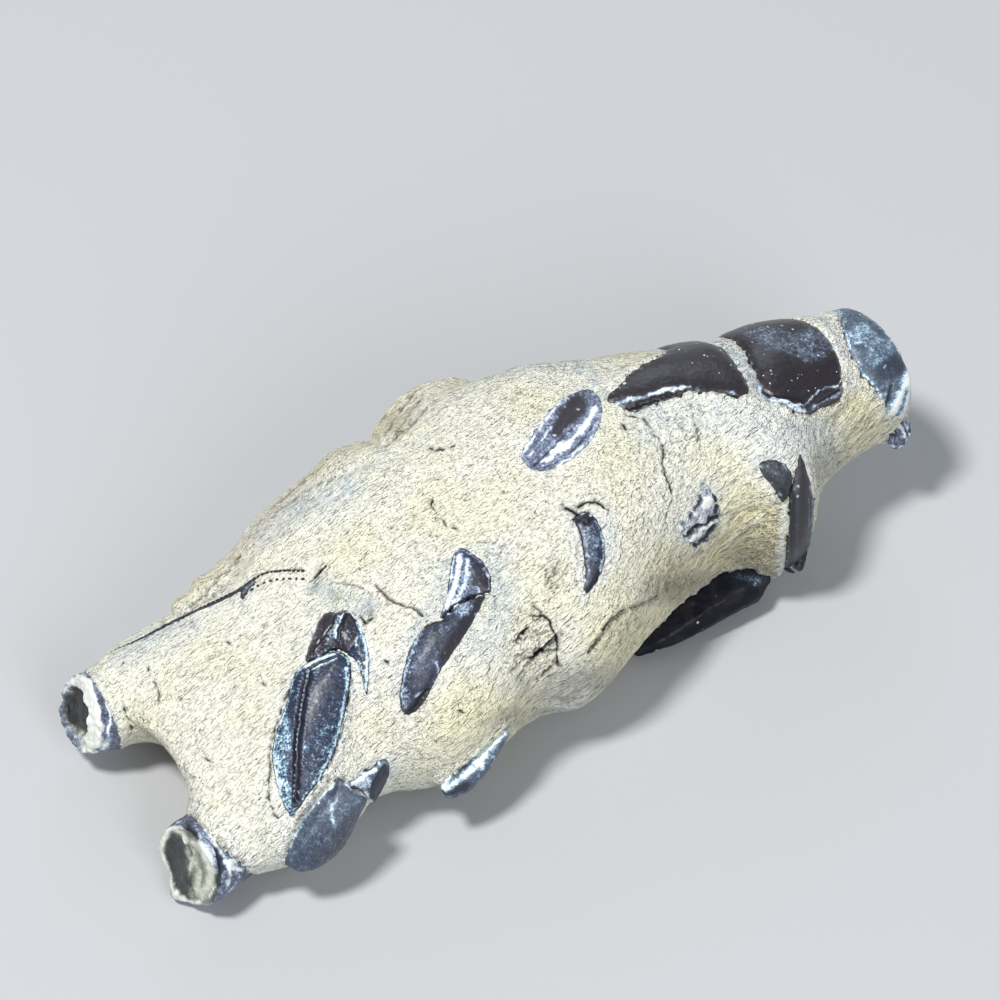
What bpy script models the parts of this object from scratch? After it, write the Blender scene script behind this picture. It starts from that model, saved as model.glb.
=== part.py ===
"""A fossil mud lobster in its stone nodule, lying on its side.

Lengths in the tables are millimetres. X runs from the claw arms to the tail, Z is up.
The exposed limbs are laid out as a drawing of the display side: u to the right and v up,
on the plane through VIEW_CENTRE that faces the viewpoint. Each point of the drawing is
dropped along its line of sight onto the stone.
"""
from math import cos, pi, radians, sin

import bmesh
import bpy
import numpy as np
from mathutils import Matrix, Vector
from mathutils.bvhtree import BVHTree

MM = 0.001
GAP = 0.3

VIEW_TURN = radians(-35.0)
VIEW_RISE = radians(50.0)
VIEW_REACH = 700.0
VIEW_CENTRE = Vector((14.5, 18.5, 0.0))

RING_POINTS = 40
RINGS = 48
SECTION_POWER = 2.25
SKIN_CELL = 1.1
SKIN_TRIANGLES = 2700
BASE_HEIGHT = 0.9
SOFTEN_FACTOR = 0.5
SOFTEN_PASSES = 6
GROUND_BLOCK = (200.0, 120.0, 40.0)

# sections of the stone: place along X, near side, far side, underside, top
TRUNK = [
    (-49.5, -16.0, 18.0, 3.0, 14.0),
    (-46.0, -19.0, 19.3, 1.5, 16.5),
    (-41.0, -20.5, 19.0, 0.5, 19.0),
    (-35.0, -20.5, 18.2, 0.0, 21.0),
    (-30.0, -18.0, 18.6, 0.0, 23.0),
    (-26.0, -19.0, 19.5, 0.0, 25.0),
    (-21.0, -22.3, 20.5, 0.0, 27.0),
    (-15.0, -22.3, 22.0, 0.0, 29.0),
    (-8.0, -20.8, 23.2, 0.0, 30.5),
    (2.5, -22.5, 23.2, 0.0, 32.2),
    (9.0, -20.0, 22.2, 0.0, 33.2),
    (18.0, -16.5, 18.0, 0.0, 33.5),
    (24.0, -15.0, 15.3, 0.0, 33.2),
    (29.0, -15.5, 13.3, 0.0, 32.8),
    (34.0, -20.0, 11.0, 0.5, 32.0),
    (37.0, -19.0, 10.0, 2.0, 31.5),
    (42.0, -14.0, 8.0, 6.0, 30.1),
    (49.0, -12.5, 6.0, 9.0, 28.8),
    (54.5, -12.3, 4.8, 9.8, 27.6),
    (57.5, -12.0, 3.8, 10.8, 26.6),
    (59.3, -11.3, 3.0, 11.8, 25.6),
]

# the two claw arms inside the stone: end and radius there, root and radius there
ARM_FAR = {"end": (-51.5, 12.8, 9.2), "end_radius": 5.0,
           "root": (-36.0, 10.0, 10.0), "root_radius": 8.5}
ARM_NEAR = {"end": (-51.0, -12.3, 7.6), "end_radius": 5.2,
            "root": (-38.0, -11.0, 9.0), "root_radius": 9.0}
ARM_SEGMENTS = 28

# their broken ends, outside the stone: the broken face and the plane where the stone begins
STUMPS = {
    "claw_stump_far": {"face": (-52.9, 13.7, 9.0), "face_normal": (-0.93, 0.13, 0.35), "face_radius": 4.8,
                       "back": (-50.4, 12.4, 9.4), "back_normal": (-0.99, 0.13, -0.07), "back_radius": 5.3},
    "claw_stump_near": {"face": (-53.9, -13.0, 7.5), "face_normal": (-0.97, -0.11, 0.21), "face_radius": 5.3,
                        "back": (-48.5, -11.9, 7.4), "back_normal": (-0.87, -0.08, -0.48), "back_radius": 5.5},
}
STUMP_SEGMENTS = 24
STUMP_RIM = 0.25
STUMP_FLARE = 0.04
SEAT_RADIUS = 7.5
SEAT_REACH = 9.0

# the hollow between the arms: centre and half sizes of the round cutter, which leans in under the stone
BAY_CENTRE = (-60.6, 0.5, 12.0)
BAY_HALF = (11.0, 15.0)
BAY_LENGTH = 60.0
BAY_SEGMENTS = 48
BAY_LEAN = radians(-28.0)

# swellings of the stone: centre, half sizes, turn about Z in degrees
SWELLINGS = [
    {"at": (-13.5, 16.2, 13.5), "half": (23.0, 8.4, 8.5), "turn": 10.0},
    {"at": (6.0, 22.0, 19.0), "half": (8.0, 4.5, 4.8), "turn": 0.0},
]
SWELLING_SEGMENTS = 32
SWELLING_RINGS = 20

# limbs in the drawing of the display side: u, v and half width along the middle line,
# height above the stone and depth in it; those on the rim also have heights above the ground
LIMBS = {
    "pincer_palm": {
        "path": [(-22.9, -20.9, 2.6), (-23.5, -25.0, 3.9), (-24.9, -29.6, 4.0), (-26.1, -33.8, 3.8),
                 (-26.8, -37.5, 2.5), (-27.3, -40.3, 1.0)],
        "proud": 0.5, "depth": 1.6},
    "pincer_wrist": {
        "path": [(-21.2, -15.0, 1.5), (-21.5, -17.4, 2.7), (-22.1, -19.4, 2.7)],
        "proud": 0.5, "depth": 1.4},
    "pincer_spur": {
        "path": [(-18.1, -18.0, 0.4), (-17.7, -20.2, 0.8), (-17.5, -23.0, 0.6), (-17.6, -25.3, 0.2)],
        "proud": 0.4, "depth": 1.0},
    "edge_leg_shin": {
        "path": [(-20.0, -38.4, 1.5), (-21.1, -40.1, 2.8), (-23.4, -43.6, 3.3), (-25.3, -46.2, 2.7),
                 (-26.2, -47.7, 1.2)],
        "heights": [14.5, 13.8, 11.6, 9.0, 7.5],
        "proud": 2.4, "depth": 2.8},
    "edge_leg_foot": {
        "path": [(-15.3, -34.9, 0.6), (-16.2, -36.5, 1.1), (-17.0, -37.9, 0.9)],
        "proud": 0.7, "depth": 1.4},
    "front_leg_thigh": {
        "path": [(-5.4, -6.7, 0.7), (-4.4, -8.8, 2.0), (-4.3, -10.6, 2.4), (-4.6, -11.8, 2.1)],
        "proud": 0.4, "depth": 1.4},
    "front_leg_shin": {
        "path": [(-3.4, -13.7, 1.1), (-5.5, -15.5, 2.2), (-7.6, -18.4, 2.6), (-9.5, -21.6, 2.6),
                 (-11.1, -24.7, 2.1), (-12.4, -27.2, 0.7)],
        "proud": 0.4, "depth": 1.6},
    "rim_leg": {
        "path": [(0.9, -30.4, 0.5), (-1.3, -32.9, 1.2), (-3.6, -35.5, 1.7), (-5.9, -37.6, 1.6),
                 (-7.4, -38.5, 0.9)],
        "heights": [13.5, 12.2, 10.8, 9.6, 9.0],
        "proud": 1.4, "depth": 2.4},
    "side_plate": {
        "path": [(12.5, 13.5, 1.2), (10.8, 11.6, 2.8), (8.4, 8.7, 3.3), (5.5, 6.1, 2.8),
                 (3.6, 4.6, 1.2)],
        "proud": 0.3, "depth": 1.4},
    "swimming_leg": {
        "path": [(11.1, -2.2, 0.9), (12.1, -4.2, 1.4), (12.5, -6.7, 1.4), (12.1, -9.2, 1.1),
                 (11.6, -11.3, 0.5)],
        "proud": 0.3, "depth": 1.2},
    "leg_stub": {
        "path": [(26.8, 1.7, 0.6), (27.2, 0.0, 1.4), (26.8, -2.0, 2.0), (26.0, -3.9, 1.8),
                 (25.5, -5.5, 1.0)],
        "proud": 0.3, "depth": 1.2},
    "rear_leg_knee": {
        "path": [(35.0, 4.7, 1.0), (36.2, 3.4, 1.6), (37.0, 2.2, 0.9)],
        "proud": 0.5, "depth": 1.3},
    "rear_leg_shin": {
        "path": [(39.4, 5.3, 0.3), (39.5, 2.6, 0.8), (39.6, 0.0, 1.3), (39.6, -3.3, 1.4),
                 (39.2, -6.6, 1.3), (38.8, -8.5, 0.9)],
        "proud": 0.3, "depth": 1.2},
    "feeler": {
        "path": [(-43.4, -16.1, 0.3), (-37.8, -13.6, 0.3), (-33.9, -11.4, 0.4), (-32.0, -10.1, 0.7),
                 (-29.7, -9.5, 0.6), (-25.9, -9.5, 0.5), (-23.4, -9.9, 0.3)],
        "proud": 0.2, "depth": 0.8},
}
LIMB_POINTS = 10
LIMB_STEPS = 2
SLOPE_LIMIT = 1.5
RIM_TRIES = 6
VIEW_LEAN = 0.5
LEAST_SEEN = 0.01
DEPTH_PASSES = 2

# the limb under the near side, in the frame: X, Y, Z, half width, half height
UNDER_CLAW = [
    (12.5, -13.4, 3.0, 1.6, 0.9),
    (17.0, -13.0, 3.9, 3.6, 2.2),
    (22.0, -12.4, 4.6, 4.8, 3.1),
    (27.0, -12.2, 5.0, 5.2, 3.6),
    (31.5, -12.6, 5.2, 4.6, 3.4),
    (33.0, -12.8, 5.2, 3.2, 2.4),
]
UNDER_CLAW_RINGS = 9

# shell rings of the tail: angle round it from the near side over the top, front edge, rear edge
TAIL_PLATES = {
    "abdomen_plate_1": [
        (79, 31.5, 34.6), (84, 24.5, 35.3), (89, 20.6, 35.6), (97, 19.6, 35.9), (107, 26.3, 36.3),
        (116, 30.8, 36.8), (130, 32.0, 37.2), (150, 32.0, 37.6), (172, 33.0, 37.8)],
    "abdomen_plate_2": [
        (41, 43.6, 46.8), (48, 41.0, 48.0), (59, 38.9, 49.2), (70, 37.7, 49.9), (88, 38.3, 50.7),
        (104, 39.4, 51.2), (125, 40.0, 51.5), (150, 40.4, 51.4), (172, 41.5, 51.0)],
    "abdomen_plate_3": [
        (6, 54.0, 55.6), (15, 53.3, 57.0), (30, 52.4, 58.0), (48, 51.7, 58.4), (65, 51.9, 58.6),
        (85, 52.8, 58.6), (110, 54.0, 58.5), (135, 54.4, 58.2), (155, 54.4, 57.8), (172, 54.8, 57.2)],
}
PLATE_PROUD = 0.4
PLATE_DEPTH = 1.1
PLATE_ROWS = 14
PLATE_COLUMNS = 5
TAIL_REACH = 60.0
TAIL_CHIP = {"at": (56.2, -12.0, 14.6), "half": (2.2, 1.5, 1.7), "turn": 35.0}


def remove_everything():
    for thing in list(bpy.data.objects):
        bpy.data.objects.remove(thing)


def collection(name):
    made = bpy.data.collections.new(name)
    bpy.context.scene.collection.children.link(made)
    return made


def material(name, colour, roughness):
    made = bpy.data.materials.new(name)
    made.use_nodes = True
    shader = made.node_tree.nodes["Principled BSDF"]
    shader.inputs["Base Color"].default_value = (*colour, 1.0)
    shader.inputs["Roughness"].default_value = roughness
    shader.inputs["Metallic"].default_value = 0.0
    made.diffuse_color = (*colour, 1.0)
    return made


def object_from(shape, name, home):
    """Turn a bmesh in millimetres into an object in metres."""
    bmesh.ops.scale(shape, vec=(MM, MM, MM), verts=shape.verts)
    bmesh.ops.recalc_face_normals(shape, faces=shape.faces)
    mesh = bpy.data.meshes.new(name)
    shape.to_mesh(mesh)
    shape.free()
    made = bpy.data.objects.new(name, mesh)
    home.objects.link(made)
    return made


def smooth_rows(rows, places):
    """Values of a table between its rows, as a smooth curve through them."""
    table = np.array(rows, dtype=float)
    along = table[:, 0]
    slopes = np.gradient(table, along, axis=0)
    out = []
    for place in places:
        i = int(np.clip(np.searchsorted(along, place) - 1, 0, len(along) - 2))
        span = along[i + 1] - along[i]
        t = (place - along[i]) / span
        start = table[i] * (2 * t ** 3 - 3 * t ** 2 + 1) + slopes[i] * span * (t ** 3 - 2 * t ** 2 + t)
        end = table[i + 1] * (3 * t ** 2 - 2 * t ** 3) + slopes[i + 1] * span * (t ** 3 - t ** 2)
        out.append(start + end)
    return out


def section_ring(place, near, far, under, top):
    half_width = (far - near) / 2
    half_height = (top - under) / 2
    ring = []
    for i in range(RING_POINTS):
        angle = 2 * pi * i / RING_POINTS
        across = abs(cos(angle)) ** (2 / SECTION_POWER) * (1 if cos(angle) > 0 else -1)
        up = abs(sin(angle)) ** (2 / SECTION_POWER) * (1 if sin(angle) > 0 else -1)
        ring.append(Vector((place, (near + far) / 2 + half_width * across,
                            (under + top) / 2 + half_height * up)))
    return ring


def loft(rings):
    """A closed body through rings that have the same number of points."""
    shape = bmesh.new()
    loops = [[shape.verts.new(point) for point in ring] for ring in rings]
    count = len(rings[0])
    for first, second in zip(loops, loops[1:]):
        for i in range(count):
            j = (i + 1) % count
            shape.faces.new((first[i], first[j], second[j], second[i]))
    shape.faces.new(loops[0])
    shape.faces.new(loops[-1])
    bmesh.ops.recalc_face_normals(shape, faces=shape.faces)
    return shape


def trunk_shape():
    places = np.linspace(TRUNK[0][0], TRUNK[-1][0], RINGS)
    rings = [section_ring(*row) for row in smooth_rows(TRUNK, places)]
    return loft(rings)


def arm_shape(arm):
    end = Vector(arm["end"])
    root = Vector(arm["root"])
    axis = root - end
    shape = bmesh.new()
    turn = axis.to_track_quat("Z", "Y").to_matrix().to_4x4()
    bmesh.ops.create_cone(shape, cap_ends=True, segments=ARM_SEGMENTS, radius1=arm["end_radius"],
                          radius2=arm["root_radius"], depth=axis.length,
                          matrix=Matrix.Translation((end + root) / 2) @ turn)
    return shape


def swelling_shape(swelling):
    shape = bmesh.new()
    place = Matrix.Translation(swelling["at"]) @ Matrix.Rotation(radians(swelling["turn"]), 4, "Z")
    size = Matrix.Diagonal((*swelling["half"], 1.0))
    bmesh.ops.create_uvsphere(shape, u_segments=SWELLING_SEGMENTS, v_segments=SWELLING_RINGS, radius=1.0,
                              matrix=place @ size)
    return shape


def bay_cutter(home):
    shape = bmesh.new()
    size = Matrix.Diagonal((*BAY_HALF, BAY_LENGTH, 1.0))
    lean = Matrix.Rotation(BAY_LEAN, 4, "Y")
    bmesh.ops.create_cone(shape, cap_ends=True, segments=BAY_SEGMENTS, radius1=1.0, radius2=1.0, depth=1.0,
                          matrix=Matrix.Translation(BAY_CENTRE) @ lean @ size)
    return cutter_from(shape, "bay_cutter", home)


def ground_cutter(home):
    shape = bmesh.new()
    size = Matrix.Diagonal((*GROUND_BLOCK, 1.0))
    place = Matrix.Translation((0.0, 0.0, BASE_HEIGHT - GROUND_BLOCK[2] / 2))
    bmesh.ops.create_cube(shape, size=1.0, matrix=place @ size)
    return cutter_from(shape, "ground_cutter", home)


def cutter_from(shape, name, home):
    made = object_from(shape, name, home)
    made.hide_render = True
    made.display_type = "WIRE"
    return made


def boolean(target, other, operation):
    modifier = target.modifiers.new(operation.lower(), "BOOLEAN")
    modifier.operation = operation
    modifier.object = other


def bake(target):
    """Replace an object's mesh with its modified mesh."""
    view = bpy.context.evaluated_depsgraph_get()
    view.update()
    mesh = bpy.data.meshes.new_from_object(target.evaluated_get(view))
    target.modifiers.clear()
    target.data = mesh


def build_stone(parts, cutters):
    stone = object_from(trunk_shape(), "matrix", parts)
    boolean(stone, bay_cutter(cutters), "DIFFERENCE")
    for i, arm in enumerate((ARM_FAR, ARM_NEAR)):
        boolean(stone, cutter_from(arm_shape(arm), f"arm_form_{i + 1}", cutters), "UNION")
    for i, swelling in enumerate(SWELLINGS):
        boolean(stone, cutter_from(swelling_shape(swelling), f"swelling_form_{i + 1}", cutters), "UNION")
    skin = stone.modifiers.new("skin", "REMESH")
    skin.mode = "VOXEL"
    skin.voxel_size = SKIN_CELL * MM
    soften = stone.modifiers.new("soften", "SMOOTH")
    soften.factor = SOFTEN_FACTOR
    soften.iterations = SOFTEN_PASSES
    bake(stone)
    thin = stone.modifiers.new("thin", "DECIMATE")
    thin.ratio = SKIN_TRIANGLES / (2 * len(stone.data.polygons))
    boolean(stone, ground_cutter(cutters), "DIFFERENCE")
    bake(stone)
    return stone


def round_ring(centre, normal, radius):
    turn = Vector(normal).to_track_quat("Z", "X")
    ring = []
    for i in range(STUMP_SEGMENTS):
        angle = 2 * pi * i / STUMP_SEGMENTS
        ring.append(Vector(centre) + turn @ Vector((radius * cos(angle), radius * sin(angle), 0.0)))
    return ring


def stump_shape(stump):
    back = round_ring(stump["back"], stump["back_normal"], stump["back_radius"])
    face = round_ring(stump["face"], stump["face_normal"], stump["face_radius"])
    centre = Vector(stump["face"])
    rim = [(p + STUMP_FLARE * (p - centre)).lerp(q, STUMP_RIM) for p, q in zip(face, back)]
    return loft([back, rim, face])


def stump_seat(stump):
    """The cutter that ends the stone arm just behind its stump."""
    back = Vector(stump["back"])
    outward = Vector(stump["back_normal"]).normalized()
    near = round_ring(back - GAP * outward, outward, SEAT_RADIUS)
    away = round_ring(back + SEAT_REACH * outward, outward, SEAT_RADIUS)
    return loft([near, away])


def surface_of(stone):
    """The uncut stone in millimetres, for dropping the drawing onto it."""
    points = [vertex.co / MM for vertex in stone.data.vertices]
    faces = [tuple(face.vertices) for face in stone.data.polygons]
    return BVHTree.FromPolygons(points, faces)


def sight_axes():
    back = Vector((sin(VIEW_TURN) * cos(VIEW_RISE), -cos(VIEW_TURN) * cos(VIEW_RISE), sin(VIEW_RISE)))
    right = Vector((cos(VIEW_TURN), sin(VIEW_TURN), 0.0))
    return right, back.cross(right), back


def drop(surface, u, v):
    """Distance along a line of sight of the drawing to the stone, and the stone's normal there."""
    eye, ray = sight_line(u, v)
    _, normal, _, reach = surface.ray_cast(eye, ray)
    if reach is None:
        reach, normal = rim_reach(surface, eye, ray)
    return reach, normal


def sight_line(u, v):
    right, up, back = sight_axes()
    eye = VIEW_CENTRE + VIEW_REACH * back
    return eye, (VIEW_CENTRE + right * u + up * v - eye).normalized()


def reach_height(u, v, z):
    eye, ray = sight_line(u, v)
    return (z - eye.z) / ray.z


def rim_reach(surface, eye, ray):
    """Where a line of sight that misses the stone passes closest to it."""
    reach = VIEW_REACH
    for _ in range(RIM_TRIES):
        place, normal, _, _ = surface.find_nearest(eye + ray * reach)
        reach = (place - eye).dot(ray)
    return reach, normal


def softened(values, passes):
    """A row of numbers or vectors, each drawn towards its neighbours."""
    for _ in range(passes):
        inner = [(a + 2 * b + c) / 4 for a, b, c in zip(values, values[1:], values[2:])]
        values = [values[0], *inner, values[-1]]
    return values


def limb_line(surface, limb):
    """Centre, normal and half width along a limb, and the direction across it in the drawing."""
    rows = [(i, *row) for i, row in enumerate(limb["path"])]
    places = np.linspace(0, len(rows) - 1, LIMB_STEPS * (len(rows) - 1) + 1)
    flat = [(float(row[1]), float(row[2]), float(row[3])) for row in smooth_rows(rows, places)]
    _, _, back = sight_axes()
    if "heights" in limb:
        heights = np.interp(places, range(len(rows)), limb["heights"])
        drops = [(reach_height(u, v, z), back) for (u, v, half), z in zip(flat, heights)]
    else:
        drops = [drop(surface, u, v) for u, v, half in flat]
    reaches = softened([reach for reach, normal in drops], DEPTH_PASSES)
    mean = sum((normal for reach, normal in drops), Vector()).normalized()
    line = []
    for i, (u, v, half) in enumerate(flat):
        eye, ray = sight_line(u, v)
        normal = (drops[i][1] + mean + VIEW_LEAN * back).normalized()
        u_first, v_first, _ = flat[max(i - 1, 0)]
        u_last, v_last, _ = flat[min(i + 1, len(flat) - 1)]
        across = Vector((v_first - v_last, u_last - u_first)).normalized()
        line.append((eye + ray * reaches[i], normal, half, across))
    return line


def limb_shape(surface, limb):
    right, up, _ = sight_axes()
    line = limb_line(surface, limb)
    centres = [row[0] for row in line]
    rings = []
    for i, (centre, normal, half, across) in enumerate(line):
        ahead = (centres[min(i + 1, len(line) - 1)] - centres[max(i - 1, 0)]).normalized()
        side = normal.cross(ahead).normalized()
        seen = abs(side.dot(right) * across.x + side.dot(up) * across.y)
        width = min(half / max(seen, LEAST_SEEN), SLOPE_LIMIT * half)
        lift = ahead.cross(side).normalized()
        rings.append(limb_ring(centre, side * width, lift, limb["proud"], limb["depth"]))
    return loft(rings)


def limb_ring(centre, side, normal, proud, depth):
    ring = []
    for k in range(LIMB_POINTS):
        angle = 2 * pi * k / LIMB_POINTS
        lift = proud if sin(angle) > 0 else depth
        ring.append(centre + side * cos(angle) + normal * lift * sin(angle))
    return ring


def under_claw_shape():
    places = np.linspace(UNDER_CLAW[0][0], UNDER_CLAW[-1][0], UNDER_CLAW_RINGS)
    rings = []
    for x, y, z, wide, high in smooth_rows(UNDER_CLAW, places):
        angles = [2 * pi * k / LIMB_POINTS for k in range(LIMB_POINTS)]
        rings.append([Vector((x, y + wide * cos(angle), z + high * sin(angle))) for angle in angles])
    return loft(rings)


def tail_spot(surface, x, angle):
    """The point of the stone's skin at a place along the tail and an angle round it."""
    _, near, far, under, top = smooth_rows(TRUNK, [x])[0]
    outward = Vector((0.0, -cos(radians(angle)), sin(radians(angle))))
    centre = Vector((x, (near + far) / 2, (under + top) / 2))
    place, _, _, _ = surface.ray_cast(centre + TAIL_REACH * outward, -outward)
    return place, outward


def plate_shape(surface, rows):
    shape = bmesh.new()
    outer, inner = [], []
    for angle, front, rear in smooth_rows(rows, np.linspace(rows[0][0], rows[-1][0], PLATE_ROWS)):
        spots = [tail_spot(surface, x, angle) for x in np.linspace(front, rear, PLATE_COLUMNS)]
        outer.append([shape.verts.new(place + PLATE_PROUD * outward) for place, outward in spots])
        inner.append([shape.verts.new(place - PLATE_DEPTH * outward) for place, outward in spots])
    close_sheet(shape, outer, inner)
    return shape


def close_sheet(shape, outer, inner):
    """Faces over two grids of points and along their common border."""
    rows, columns = len(outer), len(outer[0])
    for i in range(rows - 1):
        for j in range(columns - 1):
            shape.faces.new((outer[i][j], outer[i][j + 1], outer[i + 1][j + 1], outer[i + 1][j]))
            shape.faces.new((inner[i][j], inner[i + 1][j], inner[i + 1][j + 1], inner[i][j + 1]))
    border = [(i, 0) for i in range(rows)] + [(rows - 1, j) for j in range(1, columns)]
    border += [(i, columns - 1) for i in range(rows - 2, -1, -1)] + [(0, j) for j in range(columns - 2, 0, -1)]
    for (a, b), (c, d) in zip(border, border[1:] + border[:1]):
        shape.faces.new((outer[a][b], inner[a][b], inner[c][d], outer[c][d]))
    bmesh.ops.recalc_face_normals(shape, faces=shape.faces)


def chip_shape():
    shape = bmesh.new()
    size = Matrix.Diagonal((*TAIL_CHIP["half"], 1.0))
    turn = Matrix.Rotation(radians(TAIL_CHIP["turn"]), 4, "Z")
    bmesh.ops.create_icosphere(shape, subdivisions=2, radius=1.0,
                               matrix=Matrix.Translation(TAIL_CHIP["at"]) @ turn @ size)
    return shape


def seat_shape(shape):
    """The same form, one gap larger all round."""
    seat = shape.copy()
    seat.normal_update()
    moves = [vertex.normal * GAP * vertex.calc_shell_factor() for vertex in seat.verts]
    for vertex, move in zip(seat.verts, moves):
        vertex.co += move
    return seat


def seated(name, shape, home, cutters, stone):
    """Make a piece and cut its seat out of the stone."""
    boolean(stone, cutter_from(seat_shape(shape), f"{name}_seat", cutters), "DIFFERENCE")
    return object_from(shape, name, home)


def stand(objects):
    """Put the bottom centre of the whole fossil at the origin."""
    corners = [vertex.co for thing in objects for vertex in thing.data.vertices]
    low = Vector([min(corner[i] for corner in corners) for i in range(3)])
    high = Vector([max(corner[i] for corner in corners) for i in range(3)])
    shift = Vector(((low.x + high.x) / 2, (low.y + high.y) / 2, low.z))
    for thing in objects:
        thing.data.transform(Matrix.Translation(-shift))
    return shift


def main():
    remove_everything()
    parts = collection("fossil_lobster")
    cutters = collection("cutters")
    stone_look = material("cream_stone", (0.72, 0.66, 0.49), 0.85)
    shell_look = material("dark_shell", (0.035, 0.04, 0.055), 0.35)
    plate_look = material("brown_shell", (0.03, 0.022, 0.02), 0.3)
    stone = build_stone(parts, cutters)
    surface = surface_of(stone)

    pieces = []
    for name, stump in STUMPS.items():
        pieces.append(object_from(stump_shape(stump), name, parts))
        boolean(stone, cutter_from(stump_seat(stump), f"{name}_seat", cutters), "DIFFERENCE")
    for name, limb in LIMBS.items():
        pieces.append(seated(name, limb_shape(surface, limb), parts, cutters, stone))
    pieces.append(seated("under_claw", under_claw_shape(), parts, cutters, stone))
    pieces.append(seated("tail_chip", chip_shape(), parts, cutters, stone))
    for piece in pieces:
        piece.data.materials.append(shell_look)
    for name, rows in TAIL_PLATES.items():
        plate = seated(name, plate_shape(surface, rows), parts, cutters, stone)
        plate.data.materials.append(plate_look)
        pieces.append(plate)

    bake(stone)
    stone.data.materials.clear()
    stone.data.materials.append(stone_look)
    return stand([stone, *pieces])


SHIFT = main()
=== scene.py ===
from math import cos, pi, radians, sin

import bmesh
import bpy
import numpy as np
from mathutils import Matrix, Vector, noise
from mathutils.bvhtree import BVHTree
from mathutils.geometry import delaunay_2d_cdt


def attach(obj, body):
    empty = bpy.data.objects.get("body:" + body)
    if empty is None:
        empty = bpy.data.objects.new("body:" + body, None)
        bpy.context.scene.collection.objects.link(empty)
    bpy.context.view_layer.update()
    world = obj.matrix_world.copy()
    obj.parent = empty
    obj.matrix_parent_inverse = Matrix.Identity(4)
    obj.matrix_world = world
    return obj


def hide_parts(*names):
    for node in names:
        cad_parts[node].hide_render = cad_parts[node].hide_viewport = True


# A fossil mud lobster in its cream stone nodule.
# Lengths are millimetres of the frame. The outlines and marks of the display side are drawn as
# points of the 1000 x 1000 view from the sight place, and dropped along the line of sight.

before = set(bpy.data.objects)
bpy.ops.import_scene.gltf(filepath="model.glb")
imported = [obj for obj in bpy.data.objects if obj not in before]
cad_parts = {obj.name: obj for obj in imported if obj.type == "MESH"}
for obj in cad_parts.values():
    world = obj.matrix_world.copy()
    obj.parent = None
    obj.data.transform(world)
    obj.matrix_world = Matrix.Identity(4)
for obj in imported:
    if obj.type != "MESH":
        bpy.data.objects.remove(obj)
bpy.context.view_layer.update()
mm = 0.001

sight = {
    "turn": radians(-35.0),
    "rise": radians(50.0),
    "reach": 700.0,
    "aim": (12.431, 17.446, -0.9),
    "dotsPerMm": 7.6,
    "middle": 500.0,
    "sensor": 36.0,
    "nearest": 0.01,
}
backward = np.array((sin(sight["turn"]) * cos(sight["rise"]),
                     -cos(sight["turn"]) * cos(sight["rise"]), sin(sight["rise"])))
rightward = np.array((cos(sight["turn"]), sin(sight["turn"]), 0.0))
upward = np.cross(backward, rightward)
aim = np.array(sight["aim"])
eye = aim + sight["reach"] * backward


# places in the view

def toView(points):
    away = points - aim
    scale = sight["dotsPerMm"] * sight["reach"] / (sight["reach"] - away @ backward)
    return np.stack((sight["middle"] + (away @ rightward) * scale,
                     sight["middle"] - (away @ upward) * scale), axis=1)


def sightLines(spots):
    across = (spots[:, 0] - sight["middle"]) / sight["dotsPerMm"]
    down = (spots[:, 1] - sight["middle"]) / sight["dotsPerMm"]
    targets = aim + np.outer(across, rightward) - np.outer(down, upward)
    lines = targets - eye
    return lines / np.linalg.norm(lines, axis=1)[:, None]


# curves and outlines

def smoothCurve(points, gap, closed=False):
    knots = np.array(points, float)
    if closed:
        knots = np.vstack((knots[-1:], knots, knots[:2]))
    else:
        knots = np.vstack((2 * knots[0] - knots[1], knots, 2 * knots[-1] - knots[-2]))
    out = []
    for before, start, end, after in zip(knots, knots[1:], knots[2:], knots[3:]):
        steps = max(int(np.linalg.norm(end - start) / gap), 1)
        for t in np.arange(steps) / steps:
            bend = (2 * before - 5 * start + 4 * end - after) * t ** 2
            twist = (3 * start - before - 3 * end + after) * t ** 3
            out.append((2 * start + (end - before) * t + bend + twist) / 2)
    if not closed:
        out.append(knots[-2])
    return np.array(out)


def alongPath(spots, path):
    # distance of each spot to a path, and how far along the path it lies
    nearest = np.full(len(spots), 1e9)
    place = np.zeros(len(spots))
    start = 0.0
    for a, b in zip(path[:-1], path[1:]):
        run = b - a
        length = max(float(np.hypot(*run)), 1e-9)
        t = np.clip((spots - a) @ run / length ** 2, 0, 1)
        gap = np.hypot(*(spots - a - t[:, None] * run).T)
        closer = gap < nearest
        nearest[closer] = gap[closer]
        place[closer] = start + t[closer] * length
        start += length
    return nearest, place


def insideOutline(spots, outline):
    x, y = spots.T
    inside = np.zeros(len(spots), bool)
    for (ax, ay), (bx, by) in zip(outline, np.roll(outline, -1, axis=0)):
        if ay != by:
            inside ^= ((ay > y) != (by > y)) & (x < (bx - ax) * (y - ay) / (by - ay) + ax)
    return inside


def ripple(points, size, seed=0.0):
    # smooth noise with bumps about one size across, from -1 to 1
    return np.array([noise.noise(place) for place in (points / size + seed).tolist()])


def crumble(points, size):
    # faceted noise, from 0 on the seams to about 1 inside each grain
    nearest = (noise.voronoi(place)[0] for place in (points / size).tolist())
    return np.array([gaps[1] - gaps[0] for gaps in nearest])


def wavering(points, size, seed):
    # two fields of smooth noise, one for each direction of the view
    return np.column_stack((ripple(points, size), ripple(points, size, seed)))


def lumpy(points, amount, coarse, fine, share):
    return amount * ripple(points, coarse) + share * amount * ripple(points, fine)


def smoothStep(low, high, values):
    t = np.clip((values - low) / (high - low), 0, 1)
    return t * t * (3 - 2 * t)


def noiseStep(points, form, step):
    return smoothStep(*step, ripple(points, *form))


def bell(distance):
    return np.exp(-distance ** 2)


def shift(at, to, reach):
    return {"at": at, "to": to, "reach": reach}


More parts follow.
